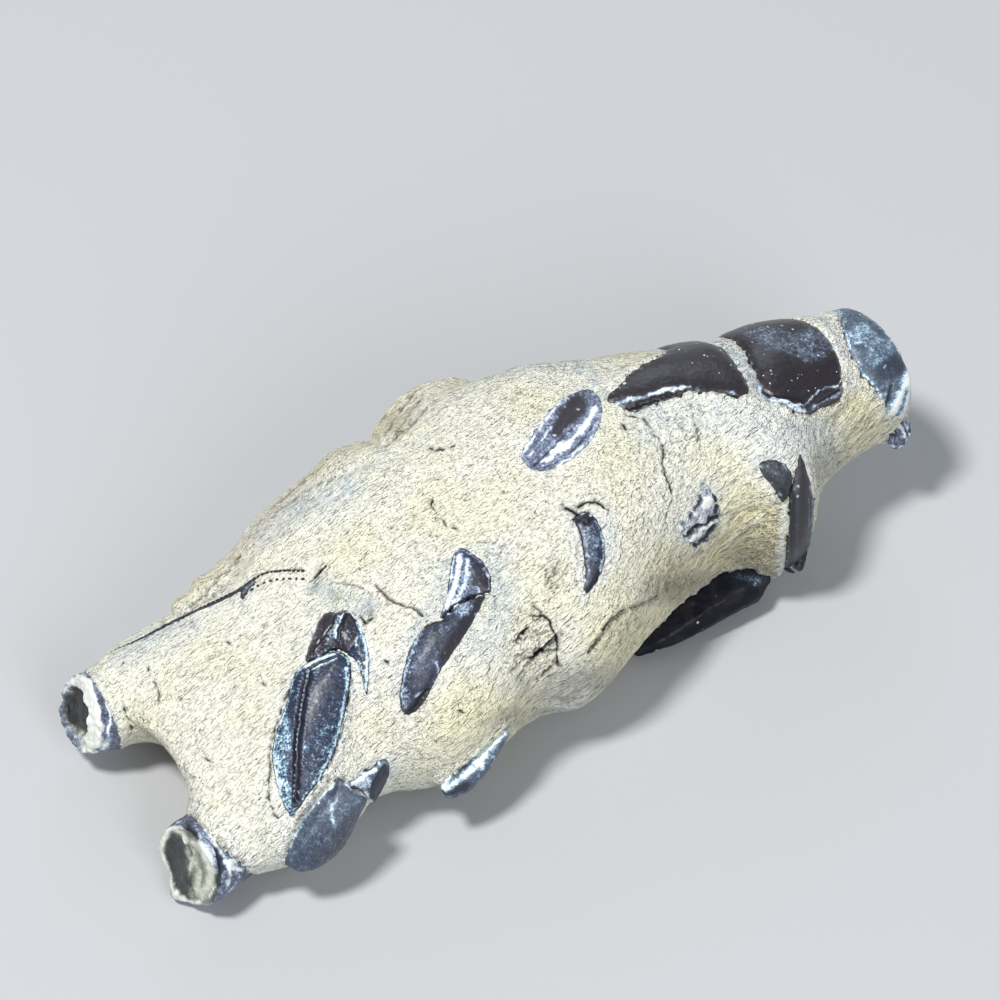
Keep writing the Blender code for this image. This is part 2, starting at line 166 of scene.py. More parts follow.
def grab(points, pulls):
    # moves what lies near a spot of the view towards another spot
    for pull in pulls:
        spots = toView(points)
        near = bell(np.hypot(*(spots - np.array(pull["at"])).T) / pull["reach"])
        across, down = (np.array(pull["to"]) - pull["at"]) / sight["dotsPerMm"]
        points = points + near[:, None] * (across * rightward - down * upward)
    return points


# meshes

def pointsOf(mesh):
    flat = np.empty(len(mesh.vertices) * 3, np.float32)
    mesh.vertices.foreach_get("co", flat)
    return flat.reshape(-1, 3).astype(float) / mm


def normalsOf(mesh):
    flat = np.empty(len(mesh.vertices) * 3, np.float32)
    mesh.vertices.foreach_get("normal", flat)
    return flat.reshape(-1, 3).astype(float)


def edgesOf(mesh):
    flat = np.empty(len(mesh.edges) * 2, np.int32)
    mesh.edges.foreach_get("vertices", flat)
    return flat.reshape(-1, 2)


def setPoints(mesh, points):
    mesh.vertices.foreach_set("co", (points * mm).astype(np.float32).ravel())
    mesh.update()


def newObject(name, mesh):
    made = bpy.data.objects.new(name, mesh)
    bpy.context.scene.collection.objects.link(made)
    return made


def meshFrom(name, points, faces):
    mesh = bpy.data.meshes.new(name)
    mesh.from_pydata((points * mm).tolist(), [], faces)
    mesh.update()
    mesh.shade_smooth()
    return mesh


def setField(mesh, name, values):
    field = mesh.attributes.get(name) or mesh.attributes.new(name, "FLOAT", "POINT")
    field.data.foreach_set("value", np.clip(values, 0, 1).astype(np.float32))


def applied(thing):
    # the object's mesh with its modifiers, which are removed
    view = bpy.context.evaluated_depsgraph_get()
    view.update()
    mesh = bpy.data.meshes.new_from_object(thing.evaluated_get(view))
    thing.modifiers.clear()
    return mesh


def relax(points, edges, active, passes):
    # draws the active points to the mean of their neighbours
    first, second = edges.T
    count = len(points)
    near = np.bincount(first, minlength=count) + np.bincount(second, minlength=count)
    moved = points.copy()
    for _ in range(passes):
        sums = [np.bincount(first, part[second], count) + np.bincount(second, part[first], count)
                for part in moved.T]
        moved[active] = (np.stack(sums, axis=1) / near[:, None])[active]
    return moved


def treeOf(mesh):
    return BVHTree.FromPolygons(pointsOf(mesh).tolist(), [tuple(face.vertices) for face in mesh.polygons])


# the skin that everything is laid out on: stone and shell pieces run together

skinSet = {"grid": 0.49, "fatten": 0.45, "soften": 20, "mendReach": 1.3, "mendPasses": 120,
           "weld": 1e-6, "softness": 0.5}
reshape = [
    shift((188, 601), (174, 599), 13),
    shift((202, 586), (195, 579), 12),
    shift((232, 546), (236, 550), 16),
    shift((331, 456), (328, 450), 18),
    shift((366, 436), (369, 441), 8),
    shift((384, 430), (379, 429), 8),
    shift((530, 366), (529, 361), 30),
    shift((579, 703), (579, 708), 20),
    shift((64, 715), (60, 716), 20),
    shift((181, 889), (173, 896), 12),
    shift((163, 845), (160, 845), 16),
    shift((120, 665), (118, 663), 20),
]
laidIn = ["pincer_palm", "pincer_wrist", "pincer_spur", "front_leg_thigh", "front_leg_shin", "side_plate",
          "swimming_leg", "leg_stub", "rear_leg_knee", "rear_leg_shin", "feeler", "edge_leg_foot"]


def nodeShape(name, grow=0.0):
    shape = bmesh.new()
    shape.from_mesh(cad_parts[name].data)
    bmesh.ops.remove_doubles(shape, verts=shape.verts, dist=skinSet["weld"])
    shape.normal_update()
    for vertex in shape.verts:
        vertex.co += vertex.normal * grow * mm
    return shape


def joinedMesh(names, grow):
    joined = bmesh.new()
    for name in names:
        shape = nodeShape(name, 0.0 if name == "matrix" else grow)
        part = bpy.data.meshes.new("part")
        shape.to_mesh(part)
        shape.free()
        joined.from_mesh(part)
        bpy.data.meshes.remove(part)
    mesh = bpy.data.meshes.new("joined")
    joined.to_mesh(mesh)
    joined.free()
    return mesh


def remeshed(mesh, grid, passes):
    thing = newObject("remeshed", mesh)
    cells = thing.modifiers.new("cells", "REMESH")
    cells.mode = "VOXEL"
    cells.voxel_size = grid * mm
    soft = thing.modifiers.new("soft", "SMOOTH")
    soft.factor = skinSet["softness"]
    soft.iterations = passes
    result = applied(thing)
    bpy.data.objects.remove(thing)
    return result


def buildSkin():
    whole = joinedMesh(sorted(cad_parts), skinSet["fatten"])
    mesh = remeshed(whole, skinSet["grid"], skinSet["soften"])
    points = pointsOf(mesh)
    limbs = treeOf(joinedMesh(laidIn, 0.0))
    reach = skinSet["mendReach"]
    near = np.array([limbs.find_nearest(place, reach)[0] is not None for place in points.tolist()])
    points = relax(points, edgesOf(mesh), near, skinSet["mendPasses"])
    points = grab(points, reshape)
    points[:, 2] = np.maximum(points[:, 2], 0.0)
    setPoints(mesh, points)
    return mesh


skinMesh = buildSkin()
skinTree = treeOf(skinMesh)
skinNormals = normalsOf(skinMesh)
skinFaces = [tuple(face.vertices) for face in skinMesh.polygons]
print("skin:", len(skinFaces), "faces")


def skinNormal(index):
    mean = skinNormals[list(skinFaces[index])].mean(axis=0)
    return mean / np.linalg.norm(mean)


rimTries = 6


def dropOnSkin(spots):
    # where lines of sight meet the skin; one that misses it stops at its closest place
    feet, normals = [], []
    start = Vector(eye)
    for line in sightLines(spots):
        ray = Vector(line)
        place, _, index, _ = skinTree.ray_cast(start, ray)
        if place is None:
            reach = sight["reach"]
            for _ in range(rimTries):
                place, _, index, _ = skinTree.find_nearest(start + ray * reach)
                reach = (place - start).dot(ray)
            place = start + ray * reach
        feet.append(tuple(place))
        normals.append(skinNormal(index))
    return np.array(feet), np.array(normals)


# painting: strokes and patches that raise a surface and colour it

tints = ("pale", "blue", "brown", "dark", "rough")
brush = {"gap": 2.0, "wanderForm": (4.5, 50.0), "pulse": 7.0, "swell": 1.3, "thickness": (0.25, 2.0),
         "fade": (0.0, 0.45), "beads": (0.55, 0.45), "patchEdge": (0.6, 1.25), "bend": 1.3,
         "bendForm": (7.0, 17.0)}


def stroke(path, wide, **marks):
    return {"path": path, "wide": wide, **marks}


def rowStroke(rows, wide, **marks):
    return {"rows": rows, "wide": wide, **marks}


def patch(at, half, **marks):
    return {"at": at, "half": half, **marks}


def newFields(count):
    return {key: np.zeros(count) for key in ("high", *tints)}


def atLeast(fields, key, cover):
    fields[key] = np.maximum(fields[key], cover)


def lay(fields, mark, cover):
    fields["high"] += mark.get("high", 0.0) * cover
    for tint in tints:
        weight = mark.get(tint, 0.0)
        if weight > 0:
            atLeast(fields, tint, weight * cover)
        elif weight < 0:
            fields[tint] *= 1 + weight * cover


def paintStrokes(fields, spots, strokes):
    for mark in strokes:
        path = smoothCurve(mark["path"], brush["gap"])
        seed = float(path[0].sum())
        flat = np.column_stack((path, np.full(len(path), seed)))
        path = path + mark.get("wander", 0.0) * wavering(flat, *brush["wanderForm"])
        distance, place = alongPath(spots, path)
        wide = mark["wide"] * sight["dotsPerMm"]
        uneven = mark.get("uneven", 0.0)
        if uneven > 0:
            pulse = ripple(np.column_stack((place, np.full(len(place), seed), 0 * place)), brush["pulse"])
            wide = wide * np.clip(1 + uneven * brush["swell"] * pulse, *brush["thickness"])
        cover = bell(distance / wide)
        if uneven > 0:
            cover *= 1 - uneven * smoothStep(*brush["fade"], -pulse)
        if "beads" in mark:
            level, wave = brush["beads"]
            cover *= level + wave * np.cos(2 * pi * place / (mark["beads"] * sight["dotsPerMm"]))
        lay(fields, mark, cover)


def paintPatches(fields, spots, patches):
    for mark in patches:
        turn = radians(mark.get("turn", 0.0))
        x, y = (spots - np.array(mark["at"])).T
        across = (x * cos(turn) + y * sin(turn)) / mark["half"][0]
        along = (-x * sin(turn) + y * cos(turn)) / mark["half"][1]
        lay(fields, mark, 1 - smoothStep(*brush["patchEdge"], np.hypot(across, along)))


def bentSpots(spots):
    # the spots with a slight waver, so that painted edges aren't ruler straight
    flat = np.column_stack((spots, np.zeros(len(spots))))
    return spots + brush["bend"] * wavering(flat, *brush["bendForm"])


# shell pieces laid in the stone

sheetSet = {
    "gap": 1.15, "margin": 0.55, "normalPasses": 12, "footPasses": 4, "deep": 0.95, "weld": 1e-5,
    "ragged": 0.9, "tears": ((6.0, 1.0), (2.6, 0.7)), "tearSeed": 31.0,
    "edge": 0.10, "roll": 0.45, "lumps": 0.05, "lumpForm": (1.3, 0.5, 0.4),
    "rimPale": 0.3, "paleAt": 0.30, "paleWide": 0.13, "paleForm": (1.1, 5.0), "paleLevel": (0.65, 0.5),
    "rimDark": 0.45, "darkWide": 0.09, "darkForm": (1.8, 11.0), "darkStep": (-0.35, 0.35),
    "dust": 0.8, "dusty": 0.5, "dustForm": (0.7, 3.0), "dustStep": (0.05, 0.5), "open": (0.3, 0.8),
}


def hexGrid(outline, gap):
    low, high = outline.min(axis=0), outline.max(axis=0)
    rows = []
    for i, y in enumerate(np.arange(low[1], high[1], gap * sin(pi / 3))):
        x = np.arange(low[0] + (i % 2) * gap / 2, high[0], gap)
        rows.append(np.stack((x, np.full(len(x), y)), axis=1))
    return np.vstack(rows)


def sheetGrid(outline, gap):
    # triangles that fill an outline
    grid = hexGrid(outline, gap)
    ring = np.vstack((outline, outline[:1]))
    grid = grid[insideOutline(grid, outline)]
    grid = grid[alongPath(grid, ring)[0] > sheetSet["margin"] * gap]
    spots = np.vstack((outline, grid))
    edges = [(i, (i + 1) % len(outline)) for i in range(len(outline))]
    made = delaunay_2d_cdt([Vector(spot) for spot in spots.tolist()], edges, [], 1, sheetSet["weld"])
    spots = np.array([tuple(place) for place in made[0]])
    return spots, [tuple(face) for face in made[2]]


def meshEdges(faces):
    pairs = {tuple(sorted(pair)) for face in faces for pair in zip(face, face[1:] + face[:1])}
    return np.array(sorted(pairs))


def closedSheet(name, top, bottom, faces):
    # a body between two layers of the same triangles
    count = len(top)
    runs = {pair for face in faces for pair in zip(face, face[1:] + face[:1])}
    walls = [(b, a, a + count, b + count) for a, b in sorted(runs) if (b, a) not in runs]
    under = [tuple(i + count for i in reversed(face)) for face in faces]
    return meshFrom(name, np.vstack((top, bottom)), faces + under + walls)


def facing(feet, normals, faces):
    # turns the triangles so that they face outwards
    a, b, c = faces[len(faces) // 2]
    side = np.cross(feet[b] - feet[a], feet[c] - feet[a]) @ normals[a]
    return faces if side > 0 else [tuple(reversed(face)) for face in faces]


def weather(piece, fields, feet, inner):
    # lumps, and along the edge a broken pale rim, a dark seam and pale dust
    wanted = {**sheetSet, **piece}
    fields["high"] += lumpy(feet, wanted["lumps"], *sheetSet["lumpForm"])
    level, wave = sheetSet["paleLevel"]
    broken = level + wave * ripple(feet, *sheetSet["paleForm"])
    rim = bell((inner - sheetSet["paleAt"]) / sheetSet["paleWide"])
    atLeast(fields, "pale", wanted["rimPale"] * broken * rim)
    uneven = noiseStep(feet, sheetSet["darkForm"], sheetSet["darkStep"])
    atLeast(fields, "dark", wanted["rimDark"] * uneven * bell(inner / sheetSet["darkWide"]))
    dust = noiseStep(feet, sheetSet["dustForm"], sheetSet["dustStep"]) * bell(inner / wanted["dusty"])
    atLeast(fields, "pale", wanted["dust"] * dust)


def shellSheet(piece, drop=dropOnSkin):
    wanted = {"dome": 0.0, "patches": [], "strokes": [], **sheetSet, **piece}
    gap = wanted["gap"]
    outline = smoothCurve(piece["outline"], gap, closed=True)
    seed = float(sum(piece["outline"][0]))
    flat = np.column_stack((outline, np.full(len(outline), seed)))
    for size, share in sheetSet["tears"]:
        outline = outline + share * wanted["ragged"] * wavering(flat, size, sheetSet["tearSeed"])
    spots, faces = sheetGrid(outline, gap)
    feet, normals = drop(spots)
    faces = facing(feet, normals, faces)
    edges = meshEdges(faces)
    normals = relax(normals, edges, np.ones(len(normals), bool), sheetSet["normalPasses"])
    normals /= np.linalg.norm(normals, axis=1)[:, None]
    border = alongPath(spots, np.vstack((outline, outline[:1])))[0]
    feet = relax(feet, edges, border > gap, sheetSet["footPasses"])

    inner = border / sight["dotsPerMm"]
    fields = newFields(len(spots))
    fields["high"] += wanted["edge"]
    fields["high"] += piece["rise"] * (1 - np.exp(-inner / sheetSet["roll"]))
    fields["high"] += wanted["dome"] * np.sin(pi / 2 * inner / inner.max())
    bent = bentSpots(spots)
    paintPatches(fields, bent, wanted["patches"])
    paintStrokes(fields, bent, wanted["strokes"])
    weather(piece, fields, feet, inner)

    top = feet + normals * fields["high"][:, None]
    bottom = feet - normals * sheetSet["deep"]
    mesh = closedSheet(piece["name"], top, bottom, faces)
    for tint in tints:
        setField(mesh, tint, np.concatenate((fields[tint], fields[tint])))
    setField(mesh, "open", np.concatenate((smoothStep(*sheetSet["open"], inner), 0 * inner)))
    return newObject(piece["name"], mesh)


pincerPalm = {
    "name": "pincerPalm", "node": "pincer_palm", "slot": "dark_shell", "look": "blueShell",
    "outline": [(307, 664), (320, 657), (334, 651), (346, 655), (351, 664), (351, 678), (349, 694),
                (345, 712), (340, 732), (334, 752), (322, 776), (309, 794), (299, 808), (291, 816),
                (283, 803), (277, 786), (273, 766), (273, 748), (279, 724), (288, 699), (294, 676)],
    "rise": 0.35, "dome": 0.75, "lumps": 0.05, "rimPale": 0.75,
    "strokes": [
        stroke([(311, 676), (306, 694), (302, 716), (298, 746), (297, 772), (296, 800)], 0.42, high=-0.42,
            dark=0.8),
        stroke([(305, 676), (300, 696), (297, 718), (294, 746), (293, 770), (293, 792)], 0.2, high=0.14,
            beads=0.5, pale=0.1, blue=0.75),
        stroke([(316, 676), (311, 696), (307, 720), (304, 750), (302, 776), (300, 794)], 0.2, high=0.07,
            beads=0.55, blue=0.5),
        stroke([(306, 668), (320, 661), (336, 655)], 0.22, high=0.22, pale=1.0),
        stroke([(311, 674), (324, 666), (338, 661)], 0.16, high=0.1, pale=0.7),
        stroke([(309, 671), (322, 664), (337, 658)], 0.13, high=-0.2, dark=0.9),
        stroke([(347, 668), (346, 690), (341, 714), (335, 738), (326, 762), (312, 784)], 0.2, high=0.08,
            pale=0.35, blue=0.5),
    ],
    "patches": [
        patch((283, 758), (9, 44), turn=6.0, blue=1.0),
        patch((286, 794), (9, 16), turn=-12.0, blue=0.5, pale=0.25),
        patch((318, 752), (18, 36), turn=14.0, blue=0.28),
        patch((308, 790), (8, 12), turn=30.0, blue=0.35),
        patch((298, 665), (5, 5), pale=1.0, high=0.3),
    ],
}

pincerWrist = {
    "name": "pincerWrist", "node": "pincer_wrist", "slot": "dark_shell", "look": "brownShell",
    "outline": [(324, 615), (337, 613), (348, 611), (356, 622), (360, 634), (356, 645), (348, 653),
                (340, 650), (331, 651), (320, 658), (309, 662), (306, 658), (313, 637)],
    "rise": 0.3, "dome": 0.55, "rimPale": 0.3, "dust": 0.45,
    "strokes": [
        stroke([(342, 614), (338, 626), (333, 637), (329, 646)], 0.42, high=0.25, blue=0.5, pale=0.1),
        stroke([(345, 616), (341, 628), (337, 640)], 0.12, high=0.1, pale=0.8, uneven=0.5),
        stroke([(337, 617), (334, 628), (325, 640), (314, 652)], 0.13, high=-0.2, dark=1.0),
        stroke([(348, 616), (344, 628), (340, 640)], 0.14, high=-0.2, dark=1.0),
    ],
    "patches": [
        patch((322, 634), (9, 18), turn=25.0, brown=0.6),
        patch((350, 634), (9, 16), turn=-20.0, brown=0.3, blue=0.3),
    ],
}

pincerSpur = {
    "name": "pincerSpur", "node": "pincer_spur", "slot": "dark_shell", "look": "blueShell",
    "outline": [(354, 619), (361, 628), (366, 639), (369, 655), (369, 675), (366.5, 694), (363.5, 684),
                (360, 671), (355, 660), (348, 654), (354, 646), (356, 634)],
    "rise": 0.25, "dome": 0.3, "edge": 0.14, "rimPale": 0.3,
    "strokes": [
        stroke([(358, 624), (364, 636), (367, 655), (368, 675), (366, 690)], 0.26, high=0.15, pale=0.9),
        stroke([(356, 640), (360, 656), (364, 675)], 0.3, blue=0.7, brown=0.4),
    ],
}

frontThigh = {
    "name": "frontThigh", "node": "front_leg_thigh", "slot": "dark_shell", "look": "duskShell",
    "outline": [(455, 553), (464, 549), (477, 557), (487, 568), (491, 582), (489, 594), (479, 596),
                (468, 599), (458, 605), (448, 614), (442, 619), (441, 615), (446, 599), (449, 580),
                (451, 563)],
    "rise": 0.25, "dome": 0.4, "rimPale": 0.7, "rimDark": 0.25, "dusty": 0.8,
    "strokes": [
        stroke([(460, 558), (458, 574), (454, 590), (447, 608)], 0.5, high=0.1, pale=0.95),
        stroke([(467, 562), (467, 576), (462, 592), (454, 604)], 0.42, pale=0.85),
        stroke([(463, 560), (463, 576), (458, 594)], 0.12, high=-0.1, pale=-0.8, blue=0.9),
        stroke([(471, 566), (471, 580), (466, 594)], 0.12, high=-0.08, pale=-0.7, blue=0.8),
        stroke([(454, 556), (452, 572), (448, 592), (443, 612)], 0.16, high=-0.05, blue=0.9),
        stroke([(463, 552), (475, 562), (484, 572), (488, 584)], 0.3, high=-0.1, blue=0.7, dark=0.2,
            uneven=0.6, wander=2.0),
        stroke([(444, 616), (458, 604), (470, 598), (488, 593)], 0.14, high=-0.3, dark=1.0),
    ],
    "patches": [
        patch((481, 581), (8, 13), brown=0.9, blue=0.25),
        patch((474, 592), (6, 6), brown=0.4, pale=0.35),
    ],
}

frontShin = {
    "name": "frontShin", "node": "front_leg_shin", "slot": "dark_shell", "look": "duskShell",
    "outline": [(424, 627), (433, 622), (442, 620), (449, 613), (463, 603), (475, 598), (485, 596),
                (482, 604), (475, 618), (464, 636), (453, 652), (440, 671), (432, 687), (425, 700),
                (416, 711), (407, 715), (401, 707), (400, 691), (403, 672), (409, 652), (417, 637)],
    "rise": 0.35, "dome": 0.7, "rimPale": 0.35, "dust": 0.55,
    "strokes": [
        # a brown and dark strip down the right side: partly brown shell, partly painted shadow
        stroke([(480, 602), (470, 618), (457, 636), (444, 656)], 0.5, high=-0.12, brown=0.9, dark=0.3),
        stroke([(409, 712), (417, 703), (426, 690)], 0.34, high=-0.5, dark=1.0),
        stroke([(417, 696), (425, 689)], 0.22, high=0.12, pale=1.0),
        stroke([(421, 632), (412, 654), (405, 676), (402, 696)], 0.32, blue=0.8, pale=0.2),
        stroke([(436, 663), (438, 672), (434, 682)], 0.2, pale=0.7, high=0.06),
        stroke([(426, 627), (436, 624), (443, 621)], 0.25, high=-0.15, dark=0.8),
        stroke([(431, 619), (441, 617), (447, 613)], 0.18, high=0.12, pale=0.9),
    ],
    "patches": [
        patch((424, 658), (16, 40), turn=28.0, blue=0.34),
        patch((464, 612), (12, 9), blue=0.6, pale=0.2),
        patch((406, 702), (7, 10), brown=0.5, pale=0.35),
    ],
}

sidePlate = {
    "name": "sidePlate", "node": "side_plate", "slot": "dark_shell", "look": "lilacShell",
    "outline": [(521, 455), (528, 442), (537, 430), (547, 415), (560, 402), (573, 394), (587, 390),
                (598, 396), (602, 409), (598, 427), (590, 442), (577, 455), (560, 466), (545, 471),
                (534, 470), (525, 464)],
    "rise": 0.05, "dome": -0.55, "rimPale": 0.12, "rimDark": 0.0, "dusty": 0.6, "dust": 0.3, "lumps": 0.06,
    "strokes": [
        stroke([(546, 460), (560, 449), (574, 437), (587, 422), (594, 409)], 0.34, high=0.12, pale=1.0,
            uneven=0.35, wander=1.5),
        stroke([(550, 465), (566, 458), (582, 444), (594, 426)], 0.26, high=-0.1, blue=0.7),
        stroke([(556, 466), (572, 456), (586, 442)], 0.16, pale=0.7, uneven=0.6, wander=1.5),
        stroke([(530, 452), (541, 437), (552, 421), (564, 406)], 0.35, high=-0.1, blue=0.8, uneven=0.4),
        stroke([(541, 462), (552, 450), (564, 438)], 0.2, pale=0.6, uneven=0.6, wander=1.5),
        stroke([(556, 428), (568, 411), (580, 400)], 0.85, high=-0.2, brown=1.0, dark=0.15),
        stroke([(528, 456), (540, 441), (551, 426)], 0.1, pale=0.6, uneven=0.6),
        stroke([(534, 465), (548, 451), (562, 436), (576, 422)], 0.12, dark=0.35, uneven=0.6),
        stroke([(544, 468), (560, 460), (578, 445), (592, 426)], 0.1, dark=0.35, uneven=0.6),
        stroke([(524, 452), (534, 437), (546, 420), (558, 405)], 0.14, pale=0.7, uneven=0.5),
        stroke([(556, 434), (568, 420), (582, 406)], 0.1, dark=0.5, uneven=0.5),
    ],
    "patches": [
        patch((562, 430), (60, 60), blue=0.5),
        patch((572, 409), (10, 20), turn=45.0, blue=-1.0, brown=1.0, dark=0.2),
    ],
}

swimmingLeg = {
    "name": "swimmingLeg", "node": "swimming_leg", "slot": "dark_shell", "look": "duskShell",
    "outline": [(577, 517), (586, 513), (596, 519), (602, 533), (605, 550), (603, 566), (597, 581),
                (590, 590), (582, 595), (585, 582), (585, 567), (583, 551), (580, 535), (576, 525)],
    "rise": 0.2, "dome": 0.3, "rimPale": 0.4, "rimDark": 0.3,
    "strokes": [
        stroke([(578, 520), (586, 524), (592, 519)], 0.35, high=-0.25, dark=1.0, wander=2.0, uneven=0.6),
        stroke([(580, 514), (590, 516)], 0.2, high=0.15, pale=1.0),
        stroke([(593, 521), (600, 534), (603, 552), (599, 572)], 0.26, blue=0.7),
        stroke([(586, 590), (593, 582), (597, 573)], 0.25, high=-0.15, dark=0.9),
        stroke([(578, 522), (586, 515)], 0.3, high=-0.1, dark=0.7),
    ],
    "patches": [
        patch((592, 545), (8, 24), turn=-4.0, blue=0.55),
    ],
}

legStub = {
    "name": "legStub", "node": "leg_stub", "slot": "dark_shell", "look": "ashShell",
    "outline": [(704, 482), (711, 491), (718, 503), (718, 520), (710, 536), (698, 546), (688, 543),
                (682, 535), (682, 525), (692, 512), (698, 498)],
    "rise": 0.05, "dome": 0.1, "lumps": 0.3, "ragged": 3.2, "rimPale": 0.4, "rimDark": 0.08, "dusty": 0.5,
    "dust": 0.9,
    "strokes": [
        stroke([(683, 537), (694, 527), (706, 521), (717, 515)], 0.2, high=-0.35, dark=1.0, wander=2.5,
            uneven=0.5),
        stroke([(694, 546), (705, 536), (713, 526)], 0.2, high=-0.3, dark=1.0, wander=2.5, uneven=0.5),
        stroke([(690, 540), (700, 531), (713, 522)], 0.24, high=0.2, pale=1.0, wander=2.0),
        stroke([(690, 516), (696, 506), (701, 496)], 0.2, high=-0.15, dark=0.6, wander=2.5, uneven=0.6),
        stroke([(712, 494), (716, 503), (714, 512)], 0.2, high=-0.2, dark=0.9),
    ],
    "patches": [
        patch((706, 502), (5, 8), turn=25.0, pale=1.0, high=0.15),
        patch((697, 514), (12, 18), turn=30.0, blue=0.3, pale=0.1),
    ],
}

rearKnee = {
    "name": "rearKnee", "node": "rear_leg_knee", "slot": "dark_shell", "look": "greyShell",
    "outline": [(759, 465), (767, 460), (778, 461), (788, 468), (792, 478), (790, 489), (785, 501),
                (779, 497), (772, 486), (763, 475)],
    "rise": 0.35, "dome": 0.6, "rimPale": 0.25,
    "patches": [
        patch((773, 470), (12, 8), turn=20.0, blue=0.45),
    ],
    "strokes": [
        stroke([(780, 488), (785, 500)], 0.24, high=-0.2, dark=0.8),
    ],
}

rearShin = {
    "name": "rearShin", "node": "rear_leg_shin", "slot": "dark_shell", "look": "greyShell",
    "outline": [(800, 454), (805, 467), (810, 483), (813, 500), (813, 520), (810, 540), (805, 559),
                (800, 571), (786, 571), (786, 557), (788, 536), (790, 513), (789, 498), (792, 486),
                (796, 470)],
    "rise": 0.2, "dome": 0.35, "rimPale": 0.2, "edge": 0.06,
    "strokes": [
        stroke([(808, 486), (811, 510), (808, 538), (802, 562)], 0.2, high=0.12, pale=0.4, blue=0.5,
            uneven=0.5),
        stroke([(792, 492), (792, 520), (789, 566)], 0.22, high=-0.12, dark=0.6),
        stroke([(800, 460), (801, 478), (802, 505), (800, 548)], 0.5, brown=1.0, dark=0.3),
        stroke([(806, 496), (806, 524), (802, 556)], 0.16, pale=0.3, blue=0.4, uneven=0.5),
        stroke([(797, 500), (796, 528), (794, 560)], 0.12, blue=0.5, uneven=0.6),
    ],
}

edgeFoot = {
    "name": "edgeFoot", "node": "edge_leg_foot", "slot": "dark_shell", "look": "slateShell",
    "outline": [(349, 782), (357, 777), (366, 771), (375, 764), (384, 759), (389, 766), (388, 776),
                (382, 789), (373, 802), (366, 797), (360, 791), (353, 787)],
    "rise": 0.2, "dome": 0.35, "edge": 0.12, "rimPale": 0.5,
    "strokes": [
        stroke([(384, 764), (375, 774), (368, 786), (370, 796)], 0.14, high=-0.12, dark=0.7),
        stroke([(352, 783), (362, 776), (374, 768)], 0.3, pale=0.7, blue=0.7),
        stroke([(364, 792), (370, 800)], 0.3, pale=0.8),
    ],
    "patches": [
        patch((379, 781), (8, 18), turn=30.0, dark=0.45),
        patch((361, 781), (10, 8), turn=-30.0, blue=0.7, pale=0.2),
    ],
}

feelerRow = {
    "name": "feelerStrip", "node": "feeler", "slot": "dark_shell", "look": "greyShell", "ragged": 0.5,
    "gap": 1.0,
    "outline": [(128, 644.6), (150, 633), (170, 622), (192, 611.5), (213, 602.5), (230, 593.5), (242, 586),
                (252, 580), (256, 582), (250, 588), (245, 595), (241, 598), (240, 591), (231, 595.6),
                (214, 604), (193, 612.8), (171, 623.2), (151, 634.6)],
    "rise": 0.06, "dome": 0.0, "edge": 0.03, "rimPale": 0.0, "rimDark": 0.3, "dust": 0.3,
    "strokes": [
        stroke([(244, 592), (254, 582), (268, 575)], 0.25, pale=0.25, blue=0.6),
    ],
}

sheets = [pincerPalm, pincerWrist, pincerSpur, frontThigh, frontShin, sidePlate, swimmingLeg, legStub,
          rearKnee, rearShin, edgeFoot, feelerRow]
shellPieces = {}
for piece in sheets:
    shellPieces[piece["name"]] = (shellSheet(piece), piece)
print("sheets:", sum(len(made.data.polygons) for made, _ in shellPieces.values()), "faces")


# the tail's shell rings: outlines by angle round the tail and place along it

tailSet = {"axisY": -4.5, "axisZ": 16.8, "radius": 14.0, "reach": 60.0, "sink": -0.35}


def tailPlaces(feet):
    y = feet[:, 1] - tailSet["axisY"]
    z = feet[:, 2] - tailSet["axisZ"]
    angle = np.degrees(np.arctan2(z, -y))
    return np.stack((radians(1) * angle * tailSet["radius"], feet[:, 0]), axis=1) * sight["dotsPerMm"]


def tailDrop(spots):
    feet, normals = [], []
    for s, x in spots / sight["dotsPerMm"]:
        angle = s / tailSet["radius"]
        out = Vector((0.0, -cos(angle), sin(angle)))
        start = Vector((x, tailSet["axisY"], tailSet["axisZ"])) + tailSet["reach"] * out
        place, _, index, _ = skinTree.ray_cast(start, -out)
        if place is None:
            place, _, index, _ = skinTree.find_nearest(start - (tailSet["reach"] - tailSet["radius"]) * out)
        normal = skinNormal(index)
        feet.append(np.array(place) + tailSet["sink"] * normal)
        normals.append(normal)
    return np.array(feet), np.array(normals)


def hiddenEdge(rows):
    # angle in degrees and place along the tail, where the view does not reach
    return np.array([(radians(angle) * tailSet["radius"], x) for angle, x in rows]) * sight["dotsPerMm"]


def tailPlate(piece):
    shown = tailPlaces(dropOnSkin(np.array(piece["shown"], float))[0])
    unrolled = {**piece, "outline": np.vstack((shown, hiddenEdge(piece["hidden"]))).tolist()}
    for key in ("strokes", "patches"):
        unrolled[key] = [unroll(mark) for mark in piece.get(key, [])]
    return shellSheet(unrolled, tailDrop)


def unroll(mark):
    moved = dict(mark)
    if "rows" in mark:
        moved["path"] = hiddenEdge(mark["rows"]).tolist()
    elif "path" in mark:
        moved["path"] = tailPlaces(dropOnSkin(np.array(mark["path"], float))[0]).tolist()
    else:
        moved["at"] = tailPlaces(dropOnSkin(np.array([mark["at"]], float))[0])[0].tolist()
    return moved


